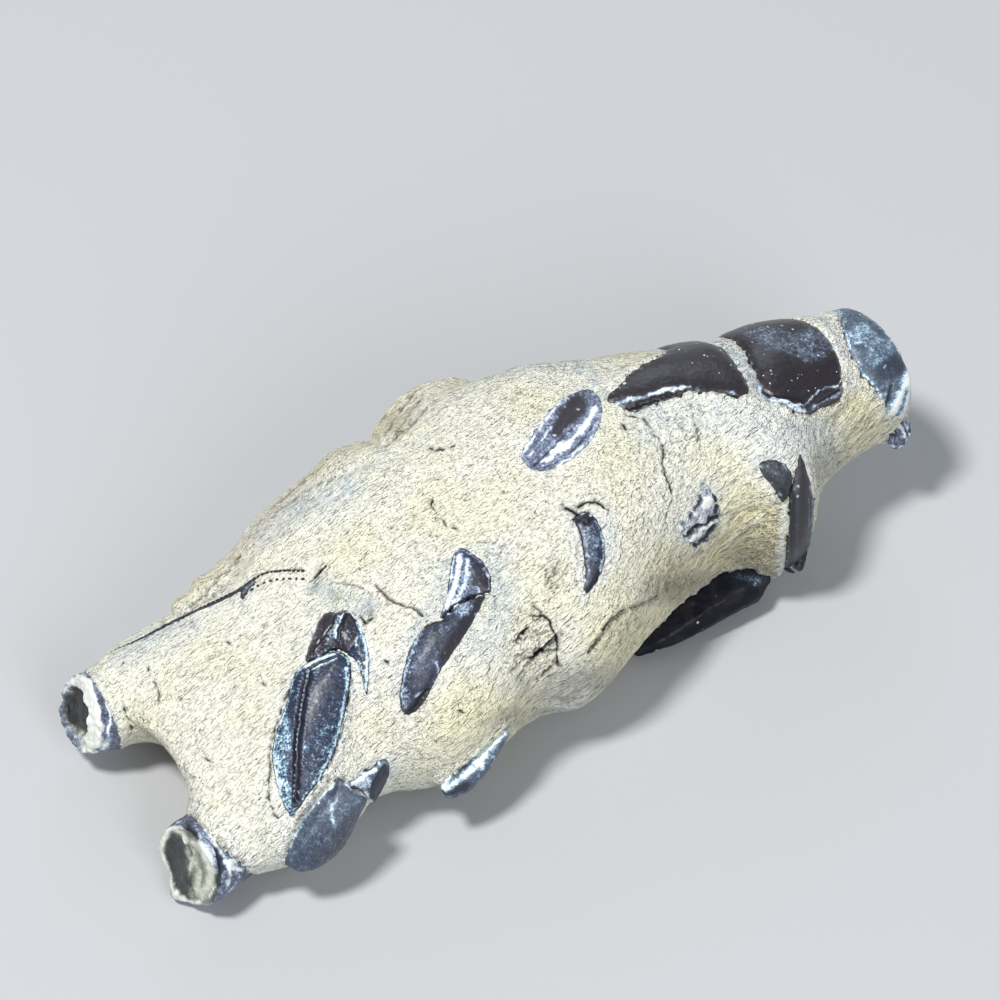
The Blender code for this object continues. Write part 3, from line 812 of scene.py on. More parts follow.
plateOne = {
    "name": "abdomenPlateOne", "node": "abdomen_plate_1", "slot": "brown_shell", "look": "plateShell",
    "shown": [(663, 354), (640, 364), (622, 380), (607, 397), (613, 403), (620, 406), (632, 411),
              (650, 406), (670, 399), (692, 391), (702, 391), (716, 391), (728, 394), (741, 395),
              (749, 392), (748, 382), (742, 371), (735, 360), (727, 350), (720, 345)],
    "hidden": [(124, 35.6), (136, 35.5), (152, 35.6), (168, 35.7), (171, 33.5), (168, 31.2), (150, 30.0),
               (134, 29.7), (124, 29.0)],
    "rise": 0.16, "dome": 0.2, "lumps": 0.04, "ragged": 1.6, "rimPale": 0.2, "gap": 1.35,
    "strokes": [
        stroke([(616, 402), (634, 399), (652, 394), (672, 389), (692, 386)], 0.3, high=0.14, pale=1.3,
            uneven=0.4, wander=2.5),
        stroke([(628, 408), (640, 404), (656, 399), (672, 395), (688, 391)], 0.24, high=-0.35, dark=1.0,
            pale=-1.0, uneven=0.3, wander=1.5),
        stroke([(634, 411), (650, 405), (668, 399), (684, 394)], 0.14, high=0.1, pale=1.0, uneven=0.8,
            wander=2.0),
        stroke([(731, 358), (740, 371), (747, 384)], 0.3, pale=0.6, uneven=0.8),
        stroke([(704, 390), (718, 391), (734, 392)], 0.22, pale=0.8, uneven=0.8),
    ],
}

plateTwo = {
    "name": "abdomenPlateTwo", "node": "abdomen_plate_2", "slot": "brown_shell", "look": "plateShell",
    "shown": [(745, 354), (751, 368), (757, 380), (758, 391), (768, 401), (783, 404), (795, 411),
              (808, 414), (822, 409), (836, 404), (843, 395), (843, 380), (841, 362), (836, 350)],
    "hidden": [(96, 48.5), (112, 48.2), (130, 47.5), (150, 47.0), (168, 47.0), (171, 44.0), (168, 39.6),
               (150, 38.4), (128, 38.0), (110, 37.4)],
    "rise": 0.3, "dome": 0.45, "lumps": 0.04, "ragged": 1.3, "rimPale": 0.3, "gap": 1.7,
    "strokes": [
        stroke([(760, 396), (769, 401), (782, 402), (794, 408), (806, 412)], 0.42, high=0.15, pale=0.55,
            blue=0.9, uneven=0.4),
        stroke([(764, 392), (774, 396), (788, 398), (800, 402)], 0.16, high=-0.12, dark=0.8),
        stroke([(772, 398), (786, 401), (797, 405), (806, 404), (812, 396), (824, 389), (836, 386),
            (843, 378)], 0.17, high=0.14, pale=1.0, wander=1.0, uneven=0.4),
        stroke([(812, 408), (822, 401), (834, 395), (842, 388)], 0.55, high=0.08, blue=1.0, pale=0.25),
        stroke([(816, 403), (826, 397), (838, 390)], 0.1, high=-0.1, dark=0.7),
        stroke([(812, 412), (824, 407), (838, 399)], 0.1, high=-0.1, dark=0.7),
        stroke([(752, 372), (758, 384), (761, 394)], 0.3, pale=0.8, uneven=0.8, wander=1.5),
        stroke([(838, 352), (842, 368), (843, 380)], 0.2, pale=0.7, uneven=0.6),
    ],
    # painted reflection: the blue patches on the plate's top stand for its blue sheen
    "patches": [
        patch((775, 340), (40, 22), turn=-20.0, blue=0.85),
        patch((812, 345), (24, 34), turn=-30.0, blue=0.95),
    ],
}

plateThree = {
    "name": "abdomenPlateThree", "node": "abdomen_plate_3", "slot": "brown_shell", "look": "ringShell",
    "shown": [(847, 345), (854, 360), (862, 374), (874, 388), (884, 403), (890, 416)],
    "hidden": [(9, 53.0), (14, 54.9), (30, 56.1), (50, 56.7), (70, 56.9), (92, 56.8), (116, 56.6),
               (140, 56.2), (158, 55.8), (169, 55.6), (171, 55.0), (169, 54.6), (150, 54.2), (128, 53.8),
               (108, 52.6), (95, 51.3)],
    "rise": 0.25, "dome": 0.4, "lumps": 0.06, "ragged": 1.2, "rimPale": 0.45, "gap": 1.6,
    "strokes": [
        rowStroke([(112, 56.4), (92, 56.5), (72, 56.5), (56, 56.3)], 0.42, high=0.15, pale=1.0, uneven=0.4,
            wander=1.5),
        rowStroke([(42, 55.6), (30, 55.0), (20, 54.2), (12, 53.4)], 0.6, high=0.2, pale=0.9, uneven=0.4,
            wander=2.0),
        stroke([(906, 378), (900, 391), (895, 404), (890, 418)], 0.75, high=0.2, pale=1.0, uneven=0.4,
            wander=2.0),
        stroke([(890, 386), (888, 398), (884, 410)], 0.2, high=-0.2, dark=0.9),
        stroke([(862, 376), (874, 388), (882, 400)], 0.3, pale=0.9, uneven=0.8, wander=2.0),
    ],
    # painted reflection: the blue patches on the plate's top stand for its blue sheen, partly the plate's
    # own blue
    "patches": [
        patch((860, 335), (16, 20), turn=-30.0, blue=0.62),
        patch((878, 350), (20, 24), turn=-30.0, blue=0.35),
        patch((890, 368), (14, 24), dark=0.22),
    ],
}

for piece in (plateOne, plateTwo, plateThree):
    shellPieces[piece["name"]] = (tailPlate(piece), piece)
print("tail plates done")


# whole bodies on the rim: finer copies of their solids

bodySet = {"grid": 0.26, "soften": 5, "seen": (-0.1, 0.25), "coverSeed": 7.0, "coverStep": (0.0, 0.35),
           "lumpForm": (1.6, 0.6, 0.45), "lowest": 0.05}
faceSet = {"wander": 0.10, "wanderForm": (1.5, 3.0), "turned": (0.25, 0.6), "deep": (-1.9, -0.8),
           "edgeBlur": (-0.03, 0.06), "coreBlur": (-0.08, 0.05), "strong": (0.6, 0.4), "grainRise": 0.25,
           "seam": (0.25, 0.05), "strongRise": 0.5, "rimForm": (1.0, 0.45, 0.5)}


def shellBody(piece):
    mesh = remeshed(joinedMesh([piece["node"]], 0.0), piece.get("grid", bodySet["grid"]), bodySet["soften"])
    mesh.name = piece["name"]
    setPoints(mesh, grab(pointsOf(mesh), reshape + piece.get("pulls", [])))
    points, normals = pointsOf(mesh), normalsOf(mesh)
    bent = bentSpots(toView(points))
    fields = newFields(len(points))
    onFace = np.zeros(len(points))
    if "face" in piece:
        onFace = brokenFace(piece["face"], points, normals, fields)
        paintStrokes(fields, bent, piece["strokes"])
    else:
        paintPatches(fields, bent, piece.get("patches", []))
        paintStrokes(fields, bent, piece.get("strokes", []))
        seen = smoothStep(*bodySet["seen"], normals @ backward)
        for key in fields:
            fields[key] *= seen
    for key, (size, amount) in piece["cover"].items():
        cover = amount * noiseStep(points, (size, bodySet["coverSeed"]), bodySet["coverStep"])
        atLeast(fields, key, cover * (1 - onFace))
    fields["high"] += lumpy(points, piece["lumps"], *bodySet["lumpForm"])
    moved = points + normals * fields["high"][:, None]
    moved[:, 2] = np.maximum(moved[:, 2], bodySet["lowest"])
    setPoints(mesh, moved)
    mesh.shade_smooth()
    for tint in tints:
        setField(mesh, tint, fields[tint])
    return newObject(piece["name"], mesh)


def brokenFace(face, points, normals, fields):
    # the broken end of a claw arm: a rim of shell round the mineral that fills it
    out = np.array(face["normal"]) / np.linalg.norm(face["normal"])
    away = points - np.array(face["at"])
    side = np.cross((0.0, 0.0, 1.0), out)
    side /= np.linalg.norm(side)
    across = away @ side / face["radius"]
    along = away @ np.cross(out, side) / face["radius"]
    wander = faceSet["wander"] * ripple(points, *faceSet["wanderForm"])
    onFace = smoothStep(*faceSet["turned"], normals @ out) * smoothStep(*faceSet["deep"], away @ out)
    low, high = (face["edge"] + blur for blur in faceSet["edgeBlur"])
    onFace *= 1 - smoothStep(low, high, np.hypot(across, along) + wander)
    radius = np.hypot(across - face["middle"][0], along - face["middle"][1]) + wander
    low, high = (face["core"] + blur for blur in faceSet["coreBlur"])
    core = 1 - smoothStep(low, high, radius)
    grain = crumble(points, face["grain"])
    level, wave = faceSet["strong"]
    strong = level + wave * np.cos(np.arctan2(along, across) - radians(face["rimTurn"]))
    for key in tints:
        inside = face["inside"].get(key, 0.0)
        border = face["border"].get(key, 0.0)
        fields[key] = onFace * (inside * core + border * (1 - core) * strong)
    fields["rough"] = onFace * np.clip(core + (1 - core) * strong, 0, 1)
    fields["high"] += onFace * core * (face["sink"] + faceSet["grainRise"] * grain)
    coarse, fine, share = faceSet["rimForm"]
    lumps = faceSet["strongRise"] * strong + ripple(points, coarse) + share * ripple(points, fine)
    fields["high"] += onFace * (1 - core) * face["rimRough"] * lumps
    atLeast(fields, "dark", onFace * core * face["seams"] * smoothStep(*faceSet["seam"], grain))
    return onFace


stumpFar = {
    "name": "clawStumpFar", "node": "claw_stump_far", "slot": "dark_shell", "look": "lilacShell",
    "lumps": 0.14, "grid": 0.22,
    "face": {"at": (-54.97, 12.65, 8.1), "normal": (-0.93, 0.13, 0.35), "radius": 4.8, "core": 0.66,
             "grain": 1.2, "edge": 1.08, "middle": (-0.2, -0.1), "sink": -0.8, "rimTurn": 50.0,
             "rimRough": 0.32, "seams": 0.6, "inside": {"pale": 0.0}, "border": {"pale": 1.0}},
    "strokes": [
        stroke([(90, 682), (102, 694), (108, 712), (108, 730), (104, 744)], 0.8, blue=0.45),
        stroke([(112, 690), (119, 708), (120, 726)], 0.3, pale=0.9, high=0.15, uneven=0.5),
        stroke([(84, 750), (96, 752), (108, 744)], 0.3, pale=0.8, high=0.1, uneven=0.6),
        stroke([(66, 728), (74, 733), (82, 737)], 0.45, pale=0.55, uneven=0.5),
        stroke([(98, 686), (106, 700), (110, 718), (108, 736)], 0.16, pale=0.8, uneven=0.6),
        stroke([(66, 690), (72, 682), (82, 680)], 0.5, pale=0.9, high=0.2, uneven=0.6),
    ],
    "cover": {"blue": (1.2, 0.35)},
}

stumpNear = {
    "name": "clawStumpNear", "node": "claw_stump_near", "slot": "dark_shell", "look": "lilacShell",
    "lumps": 0.14, "grid": 0.22,
    "face": {"at": (-55.97, -14.05, 6.6), "normal": (-0.97, -0.11, 0.21), "radius": 5.3, "core": 0.92,
             "grain": 1.6, "edge": 1.08, "middle": (0.0, 0.0), "sink": -0.35, "rimTurn": 200.0,
             "rimRough": 0.08, "seams": 0.15, "inside": {"pale": 0.0}, "border": {"pale": 0.9}},
    "strokes": [
        stroke([(196, 842), (204, 853), (209, 866), (210, 882), (202, 894)], 1.25, pale=0.72, high=0.2,
            dark=-1.0),
        stroke([(190, 852), (196, 866), (198, 880), (194, 896)], 0.9, pale=0.6, dark=-1.0),
        stroke([(212, 848), (217, 864), (216, 882), (208, 898)], 0.14, pale=1.0, high=0.1),
        stroke([(186, 846), (190, 860), (188, 876)], 0.3, pale=0.5, brown=0.6, high=0.15, uneven=0.5),
        stroke([(168, 832), (163, 848), (165, 868), (172, 886), (184, 900), (200, 902)], 0.26, pale=0.8,
            high=0.12, uneven=0.4),
        stroke([(174, 830), (182, 834), (188, 842)], 0.5, pale=0.6, brown=0.5, high=0.2),
        stroke([(184, 836), (190, 850), (194, 864)], 0.22, high=0.25, pale=0.8),
        stroke([(184, 878), (190, 888), (194, 898)], 0.2, dark=0.6, high=-0.15, uneven=0.6),
        stroke([(185, 828), (192, 832), (196, 838)], 0.35, dark=1.0, high=-0.5),
        stroke([(188, 846), (190, 856)], 0.3, dark=0.8, high=-0.3),
        stroke([(196, 818), (208, 830), (218, 848), (232, 866)], 0.8, blue=0.35),
        stroke([(202, 826), (214, 842), (224, 858), (240, 870)], 0.26, pale=0.95, high=0.15, uneven=0.5,
            wander=3.0),
        stroke([(216, 850), (220, 866), (216, 884)], 0.4, dark=0.8, high=-0.2, uneven=0.4),
        stroke([(226, 862), (230, 874), (226, 886)], 0.24, pale=0.9, high=0.12, uneven=0.6, wander=3.0),
    ],
    "cover": {"blue": (1.3, 0.3), "pale": (0.55, 0.35)},
}

edgeShin = {
    "name": "edgeShin", "node": "edge_leg_shin", "slot": "dark_shell", "look": "slateShell", "lumps": 0.07,
    "pulls": [
        shift((290, 858), (285, 862), 9),
        shift((361, 806), (369, 800), 9),
        shift((344, 789), (341, 780), 9),
        shift((320, 868), (316, 871), 9),
    ],
    "strokes": [
        stroke([(288, 848), (300, 824), (314, 804), (334, 784)], 0.26, high=0.14, pale=1.0),
        stroke([(285, 846), (296, 822), (310, 801), (330, 782)], 0.3, high=-0.2, dark=0.9),
        stroke([(336, 800), (331, 812), (334, 826)], 0.26, high=0.06, pale=0.15, blue=0.7, uneven=0.6,
            wander=2.0),
        stroke([(346, 784), (356, 790), (368, 794)], 0.3, pale=0.6, blue=0.9),
        stroke([(312, 830), (326, 812), (342, 796)], 0.7, blue=0.35),
        stroke([(352, 812), (340, 838), (322, 858)], 0.8, brown=0.5),
    ],
    "cover": {"blue": (1.5, 0.15)},
}

rimLeg = {
    "name": "rimLeg", "node": "rim_leg", "slot": "dark_shell", "look": "slateShell", "lumps": 0.09,
    "strokes": [
        stroke([(508, 728), (492, 744), (476, 762)], 0.8, blue=1.0, pale=0.3),
        stroke([(505, 727), (484, 745), (464, 762), (446, 780)], 0.28, high=0.1, pale=0.9),
        stroke([(480, 764), (466, 774), (452, 786)], 0.5, high=0.12, pale=0.7, uneven=0.5),
        stroke([(466, 786), (450, 794), (440, 792)], 0.4, dark=0.6, high=-0.1),
    ],
    "patches": [
        patch((446, 790), (12, 8), turn=30.0, pale=0.6, high=0.1),
    ],
    "cover": {"blue": (1.4, 0.5), "pale": (0.7, 0.2)},
}

# the under claw is made near black: partly its own dark shell, partly painted shade under the stone's
# overhang
underClaw = {
    "name": "underClaw", "node": "under_claw", "slot": "dark_shell", "look": "deepShell", "lumps": 0.1,
    "strokes": [
        stroke([(740, 576), (756, 580), (764, 578)], 0.8, pale=0.3, blue=0.4),
    ],
    "cover": {"blue": (2.2, 0.12), "brown": (1.7, 0.3)},
}

tailChip = {
    "name": "tailChip", "node": "tail_chip", "slot": "dark_shell", "look": "lilacShell", "lumps": 0.6,
    "grid": 0.2, "cover": {"pale": (0.8, 1.0), "blue": (1.3, 1.0)},
}

for piece in (stumpFar, stumpNear, edgeShin, rimLeg, underClaw, tailChip):
    shellPieces[piece["name"]] = (shellBody(piece), piece)
print("bodies done")


# the stone

stoneSet = {
    "broad": (9.0, 0.22), "middle": (3.6, 0.10), "small": (1.5, 0.045), "tiny": (0.85, 0.022),
    "lumpSeed": 2.0, "lumpNear": (0.25, 0.75), "coarsest": 4.0, "away": (0.2, 1.6),
    "streak": (4.5, 1.2), "streakHigh": 0.25, "streakNear": (0.2, 0.8), "streakLean": 24.0,
    "tornStretch": (0.55, 1.3, 1.3), "tornSeed": 21.0, "tornGrain": (0.5, 13.0), "tornHigh": 0.5,
    "tornDeep": (0.12, 0.5), "tornDark": (0.16, 0.38), "tornSpread": (-0.2, 0.25),
    "tornForm": (3.0,), "tornShare": 0.4, "darker": 1.3, "seen": (-0.05, 0.25), "bend": 1.2,
    "bendForm": (0.9, 9.0), "crack": {"wander": 1.7, "uneven": 0.75},
    "warmForm": (14.0,), "warmLevel": (0.45, 0.5), "soilForm": (10.0, 5.0), "soilStep": (0.1, 0.6),
    "soilHidden": 0.6, "soilRough": 0.3, "oval": (0.3, 1.3),
    "crackReach": 3.4, "finer": (1.0, 0.62), "crumbReach": 0.9, "facing": 0.05,
    "look": 2.5, "under": 1.3, "far": 9.0, "search": 6.0, "sink": 0.5, "sinkAtEdge": 0.14,
    "highAtEdge": 0.05, "highUnder": -0.1,
    "halo": ((1.1, 0.75), (3.2, 0.25)), "haloForm": (2.0, 4.0), "haloLevel": (0.65, 0.35), "warmPale": 0.7,
    "openAway": (0.5, 1.6), "openHigh": (0.2, 0.8), "openForm": (6.0, 8.0), "openStep": (-0.1, 0.3),
    "openLevel": (0.35, 0.65),
}

cracksAndShadowLines = [
    stroke([(629, 416), (643, 420), (654, 433), (660, 440), (664, 449), (664, 469), (671, 488), (672, 499),
        (667, 514), (665, 524)], 0.11, high=-0.22, dark=0.85),
    stroke([(336, 583), (350, 585), (364, 590)], 0.13, high=-0.15, dark=0.5),
    stroke([(376, 587), (383, 592), (389, 599), (399, 605), (414, 609), (422, 616)], 0.16, high=-0.25,
        dark=0.7),
    stroke([(292, 684), (284, 702), (276, 726), (270, 752), (269, 780), (269, 800), (273, 812), (278, 818)],
        0.12, high=-0.18, dark=0.75),
    stroke([(691, 404), (694, 420), (697, 430), (701, 446)], 0.13, high=-0.15, dark=0.55),
    stroke([(352, 671), (350, 694), (345, 719), (338, 744), (327, 771), (312, 794)], 0.11, high=-0.2,
        dark=0.6),
    stroke([(372, 778), (350, 790), (330, 806), (312, 822)], 0.12, high=-0.2, dark=0.5),
    stroke([(561, 504), (567, 508), (574, 512), (582, 516)], 0.22, high=-0.25, dark=1.0, uneven=0.3),
    stroke([(578, 508), (588, 502), (597, 503), (606, 509)], 0.16, high=-0.2, dark=1.0, uneven=0.3),
    stroke([(572, 519), (580, 514), (590, 512)], 0.14, high=-0.2, dark=1.0, uneven=0.4),
    stroke([(430, 447), (438, 450), (448, 447), (452, 446)], 0.15, high=-0.2, dark=0.8),
    stroke([(433, 498), (431, 504), (434, 509)], 0.13, high=-0.15, dark=0.8),
    stroke([(436, 517), (444, 521), (447, 527), (456, 528)], 0.13, high=-0.15, dark=0.7),
    stroke([(622, 423), (627, 429)], 0.16, high=-0.2, dark=0.9),
    stroke([(362, 617), (366, 622), (373, 617)], 0.15, high=-0.2, dark=0.9),
    stroke([(534, 615), (547, 618), (554, 632), (558, 645), (557, 660), (560, 668)], 0.16, high=-0.25,
        dark=0.9),
    stroke([(156, 683), (158, 692), (157, 700)], 0.14, high=-0.15, dark=0.7),
    stroke([(384, 434), (394, 419), (406, 402), (416, 390)], 0.1, high=-0.15, dark=0.5),
    stroke([(391, 437), (403, 420), (416, 404), (424, 394)], 0.1, high=-0.15, dark=0.4),
    stroke([(380, 424), (386, 410), (396, 396), (404, 388)], 0.12, high=-0.2, dark=0.6),
    stroke([(398, 438), (412, 422), (428, 406)], 0.08, high=-0.1, dark=0.4),
    stroke([(258, 524), (278, 503), (298, 486), (322, 468)], 0.12, high=-0.25, dark=0.4),
    stroke([(272, 518), (290, 501), (312, 486), (330, 478)], 0.1, high=-0.2, dark=0.35),
    stroke([(190, 606), (208, 590), (228, 570), (240, 556)], 0.12, high=-0.25, dark=0.45),
    stroke([(186, 612), (204, 598), (222, 584)], 0.1, high=-0.2, dark=0.35),
    stroke([(315, 577), (320, 571), (327, 566)], 0.14, high=-0.1, dark=1.0),
    stroke([(244, 586), (254, 579), (268, 572.5), (284, 570), (304, 570)], 0.07, high=-0.1, dark=0.7),
    stroke([(148, 668), (149, 671)], 0.14, high=-0.15, dark=1.0),
    stroke([(227, 641), (229, 643)], 0.13, high=-0.15, dark=1.0),
    stroke([(262, 685), (265, 687)], 0.15, high=-0.15, dark=1.0),
    stroke([(179, 735), (182, 737)], 0.14, high=-0.15, dark=1.0),
    stroke([(459, 711), (463, 713)], 0.14, high=-0.15, dark=1.0),
    stroke([(384, 661), (387, 662)], 0.14, high=-0.15, dark=1.0),
    stroke([(203, 758), (208, 760), (214, 762)], 0.13, high=-0.12, dark=0.7),
    stroke([(378, 444), (389, 440), (404, 425), (422, 412), (439, 398)], 0.2, high=-0.3, dark=0.35),
    # painted shadow: these two dark lines stand for the shade under the gully's overhanging edge, along a
    # real groove
    stroke([(656, 597), (642, 604), (623, 612), (606, 631), (592, 649)], 0.32, high=-0.45, dark=0.45),
    stroke([(628, 609), (614, 618), (601, 634), (590, 654)], 0.2, high=-0.5, dark=0.75),
    stroke([(534, 607), (541, 611), (540, 620), (534, 622), (533, 614)], 0.14, high=-0.15, dark=0.6,
        wander=4.0, uneven=0.9),
    stroke([(505, 641), (518, 637), (530, 632), (545, 634)], 0.2, high=-0.2, dark=0.45, wander=4.0,
        uneven=0.9),
    stroke([(518, 655), (530, 650), (544, 651), (556, 648)], 0.2, high=-0.2, dark=0.5, wander=4.0,
        uneven=0.9),
    stroke([(512, 672), (520, 663), (530, 657), (541, 655)], 0.2, high=-0.2, dark=0.45, wander=4.0,
        uneven=0.9),
    stroke([(538, 680), (546, 671), (556, 665), (562, 668)], 0.18, high=-0.2, dark=0.6, wander=4.0,
        uneven=0.9),
    stroke([(560, 560), (553, 570), (547, 584)], 0.14, high=-0.25, dark=0.5),
    stroke([(571, 562), (563, 572), (556, 586)], 0.12, high=-0.2, dark=0.4),
    stroke([(757, 522), (740, 536), (724, 551)], 0.16, high=-0.2, dark=0.35),
    stroke([(121, 700), (126, 716), (132, 730)], 0.14, high=-0.3, dark=0.7),
]

# soft forms of the stone: lips, ridges, hollows and halos
stoneStrokes = [
    stroke([(113, 700), (120, 716), (126, 732)], 0.6, high=0.3),
    stroke([(212, 818), (226, 838), (244, 858), (258, 868)], 0.7, high=0.25, pale=0.7),
    stroke([(664, 590), (646, 598), (628, 604), (612, 620), (598, 640)], 1.0, high=0.35),
    stroke([(760, 518), (742, 532), (726, 546)], 0.5, high=0.25, pale=0.4),
    stroke([(172, 612), (184, 602), (200, 590), (222, 578)], 0.8, high=0.35),
    stroke([(168, 622), (190, 612), (214, 600), (244, 582)], 0.9, high=-0.3),
    stroke([(698, 342), (718, 345), (732, 352), (744, 366), (752, 384), (758, 398)], 1.1, high=0.2,
        pale=1.0, blue=0.9, rough=0.35),
    stroke([(800, 310), (816, 316), (830, 330), (840, 350), (848, 370), (852, 384)], 1.1, high=0.3,
        pale=1.0),
    stroke([(490, 374), (520, 366), (548, 362), (575, 367), (592, 380), (602, 394)], 0.9, high=0.15,
        blue=1.0, pale=0.3),
    stroke([(262, 532), (288, 512), (318, 497), (352, 484)], 1.7, high=-0.15, blue=0.75, pale=0.8),
    stroke([(254, 558), (280, 536), (310, 520), (344, 512)], 0.9, high=0.3, pale=0.5),
    stroke([(226, 572), (262, 545), (296, 528)], 0.5, high=-0.2, blue=0.4),
    stroke([(180, 604), (200, 584), (234, 556), (266, 520), (300, 484), (336, 460), (370, 448)], 1.1,
        high=0.25, brown=0.7, uneven=0.2),
    stroke([(204, 598), (234, 574), (268, 538), (300, 504), (336, 476), (366, 462)], 0.55, high=-0.5,
        blue=0.6, uneven=0.4, wander=2.0),
    stroke([(196, 610), (224, 594), (250, 574)], 0.4, high=0.3, pale=0.5, uneven=0.5),
    stroke([(372, 462), (398, 452), (420, 440)], 1.0, high=-0.2, blue=0.5, pale=0.4),
    stroke([(372, 440), (384, 442), (398, 432), (412, 420)], 0.6, high=-0.4, blue=0.4),
    stroke([(492, 556), (500, 580), (498, 610), (480, 640)], 2.6, blue=0.65, pale=0.7),
    stroke([(446, 560), (434, 600), (410, 640), (396, 690)], 1.2, blue=0.6, pale=0.7),
    stroke([(318, 584), (330, 594), (346, 600), (366, 608)], 1.5, blue=1.3, pale=0.1, rough=0.45,
        wander=3.0, uneven=0.3),
    stroke([(353, 672), (352, 700), (347, 724), (340, 750), (326, 778), (306, 806), (294, 826)], 0.4,
        high=0.35, pale=1.0),
    stroke([(340, 776), (324, 792), (306, 810), (290, 830), (282, 852)], 0.4, high=0.3, pale=1.0),
    stroke([(332, 776), (316, 796), (300, 814), (290, 824)], 0.16, high=-0.3, dark=0.5, uneven=0.5,
        wander=1.5),
    stroke([(608, 518), (612, 545), (606, 575)], 0.9, pale=0.9, blue=0.3),
    stroke([(575, 530), (578, 560), (576, 590)], 0.8, pale=0.7),
    stroke([(752, 460), (768, 453), (786, 459), (797, 470)], 0.8, high=0.1, pale=1.0),
    stroke([(650, 420), (700, 412), (745, 420), (790, 432), (815, 436)], 3.4, blue=0.45, pale=0.85),
    stroke([(785, 505), (783, 535), (779, 572)], 0.5, high=0.2, pale=0.9),
    stroke([(120, 660), (150, 640), (190, 622)], 1.4, blue=0.6, pale=0.4),
    # painted highlight: a pale raised stroke for the lit top of a small bulge on the lower edge
    stroke([(554, 705), (568, 707), (580, 700), (588, 692)], 0.45, high=0.12, pale=1.0, uneven=0.3),
]

stonePatches = [
    patch((534, 642), (30, 42), turn=20.0, high=-0.1),
    patch((551, 578), (13, 18), high=-0.08),
    patch((400, 413), (12, 34), turn=42.0, high=-0.1, brown=0.8),
    patch((300, 810), (40, 18), turn=-40.0, pale=0.6),
]

warmPatches = [
    patch((850, 420), (60, 60), amount=0.75),
    patch((770, 530), (70, 50), amount=0.95),
    patch((700, 570), (80, 45), amount=0.7),
    patch((640, 640), (60, 45), amount=0.5),
    patch((520, 400), (55, 30), amount=0.08),
    patch((390, 540), (50, 40), amount=0.12),
    patch((250, 690), (60, 60), amount=0.1),
    patch((480, 720), (70, 40), amount=0.35),
    patch((620, 430), (60, 50), amount=0.1),
    patch((540, 410), (50, 30), amount=0.16),
    patch((340, 560), (60, 30), amount=0.14),
    patch((650, 365), (40, 20), amount=0.35),
    patch((170, 760), (30, 40), amount=0.25),
]
tornSpots = stonePatches[:2]
# the stone is darkened grey-brown along its near lower edges: partly a soil tone, partly painted shade on
# faces turned from the light
soilAndShadePatches = [
    patch((600, 690), (90, 30), amount=0.65),
    patch((700, 590), (70, 22), amount=0.7),
    patch((760, 562), (40, 24), amount=0.7),
    patch((835, 470), (26, 24), amount=0.5),
    patch((540, 720), (60, 14), amount=0.5),
]


def ovalCover(spots, mark):
    x, y = ((spots - np.array(mark["at"])) / np.array(mark["half"])).T
    return mark.get("amount", 1.0) * (1 - smoothStep(*stoneSet["oval"], np.hypot(x, y)))


def refineCracks(mesh):
    # finer triangles along the cracks and in the torn spots
    shape = bmesh.new()
    shape.from_mesh(mesh)
    for share in stoneSet["finer"]:
        reach = share * stoneSet["crackReach"]
        shape.verts.ensure_lookup_table()
        points = np.array([vertex.co[:] for vertex in shape.verts]) / mm
        normals = np.array([vertex.normal[:] for vertex in shape.verts])
        spots = toView(points)
        close = np.zeros(len(points), bool)
        for crack in cracksAndShadowLines:
            close |= alongPath(spots, np.array(crack["path"], float))[0] < reach
        for mark in tornSpots:
            least = 1 - stoneSet["crumbReach"] * reach / stoneSet["crackReach"]
            close |= ovalCover(spots, mark) > least
        close &= normals @ backward > stoneSet["facing"]
        edges = [edge for edge in shape.edges if all(close[end.index] for end in edge.verts)]
        bmesh.ops.subdivide_edges(shape, edges=edges, cuts=1, use_grid_fill=True)
        shape.normal_update()
        shape.verts.index_update()
    made = bpy.data.meshes.new("stone")
    shape.to_mesh(made)
    shape.free()
    return made


def streakPlaces(points):
    lean = radians(stoneSet["streakLean"])
    along = points[:, 0] * cos(lean) + points[:, 2] * sin(lean)
    rise = -points[:, 0] * sin(lean) + points[:, 2] * cos(lean)
    long, thin = stoneSet["streak"]
    return np.stack((along / long, points[:, 1] / thin, rise / thin), axis=1)


def underShell(points, normals, edges):
    # where the stone lies under shell, how far below it goes: just flush next to an edge, deeper inside
    vertices, faces = [], []
    for made, _ in shellPieces.values():
        start = len(vertices)
        vertices.extend(pointsOf(made.data).tolist())
        faces.extend(tuple(start + i for i in face.vertices) for face in made.data.polygons)
    tree = BVHTree.FromPolygons(vertices, faces)
    shellHigh = np.full(len(points), np.nan)
    gaps = np.full(len(points), stoneSet["far"])
    look = stoneSet["look"]
    starts = points + normals * look
    for i, (start, normal) in enumerate(zip(starts.tolist(), normals.tolist())):
        reach = tree.ray_cast(Vector(start), -Vector(normal), look + stoneSet["under"])[3]
        if reach is not None:
            shellHigh[i] = look - reach
        near = tree.find_nearest(points[i].tolist(), stoneSet["search"])[3]
        if near is not None:
            gaps[i] = near
    bare = np.isnan(shellHigh)
    first, second = edges.T
    atEdge = np.zeros(len(points), bool)
    atEdge[first[bare[second]]] = True
    atEdge[second[bare[first]]] = True
    down = shellHigh - np.where(atEdge, stoneSet["sinkAtEdge"], stoneSet["sink"])
    most = np.where(atEdge, stoneSet["highAtEdge"], stoneSet["highUnder"])
    return np.minimum(down, most), gaps


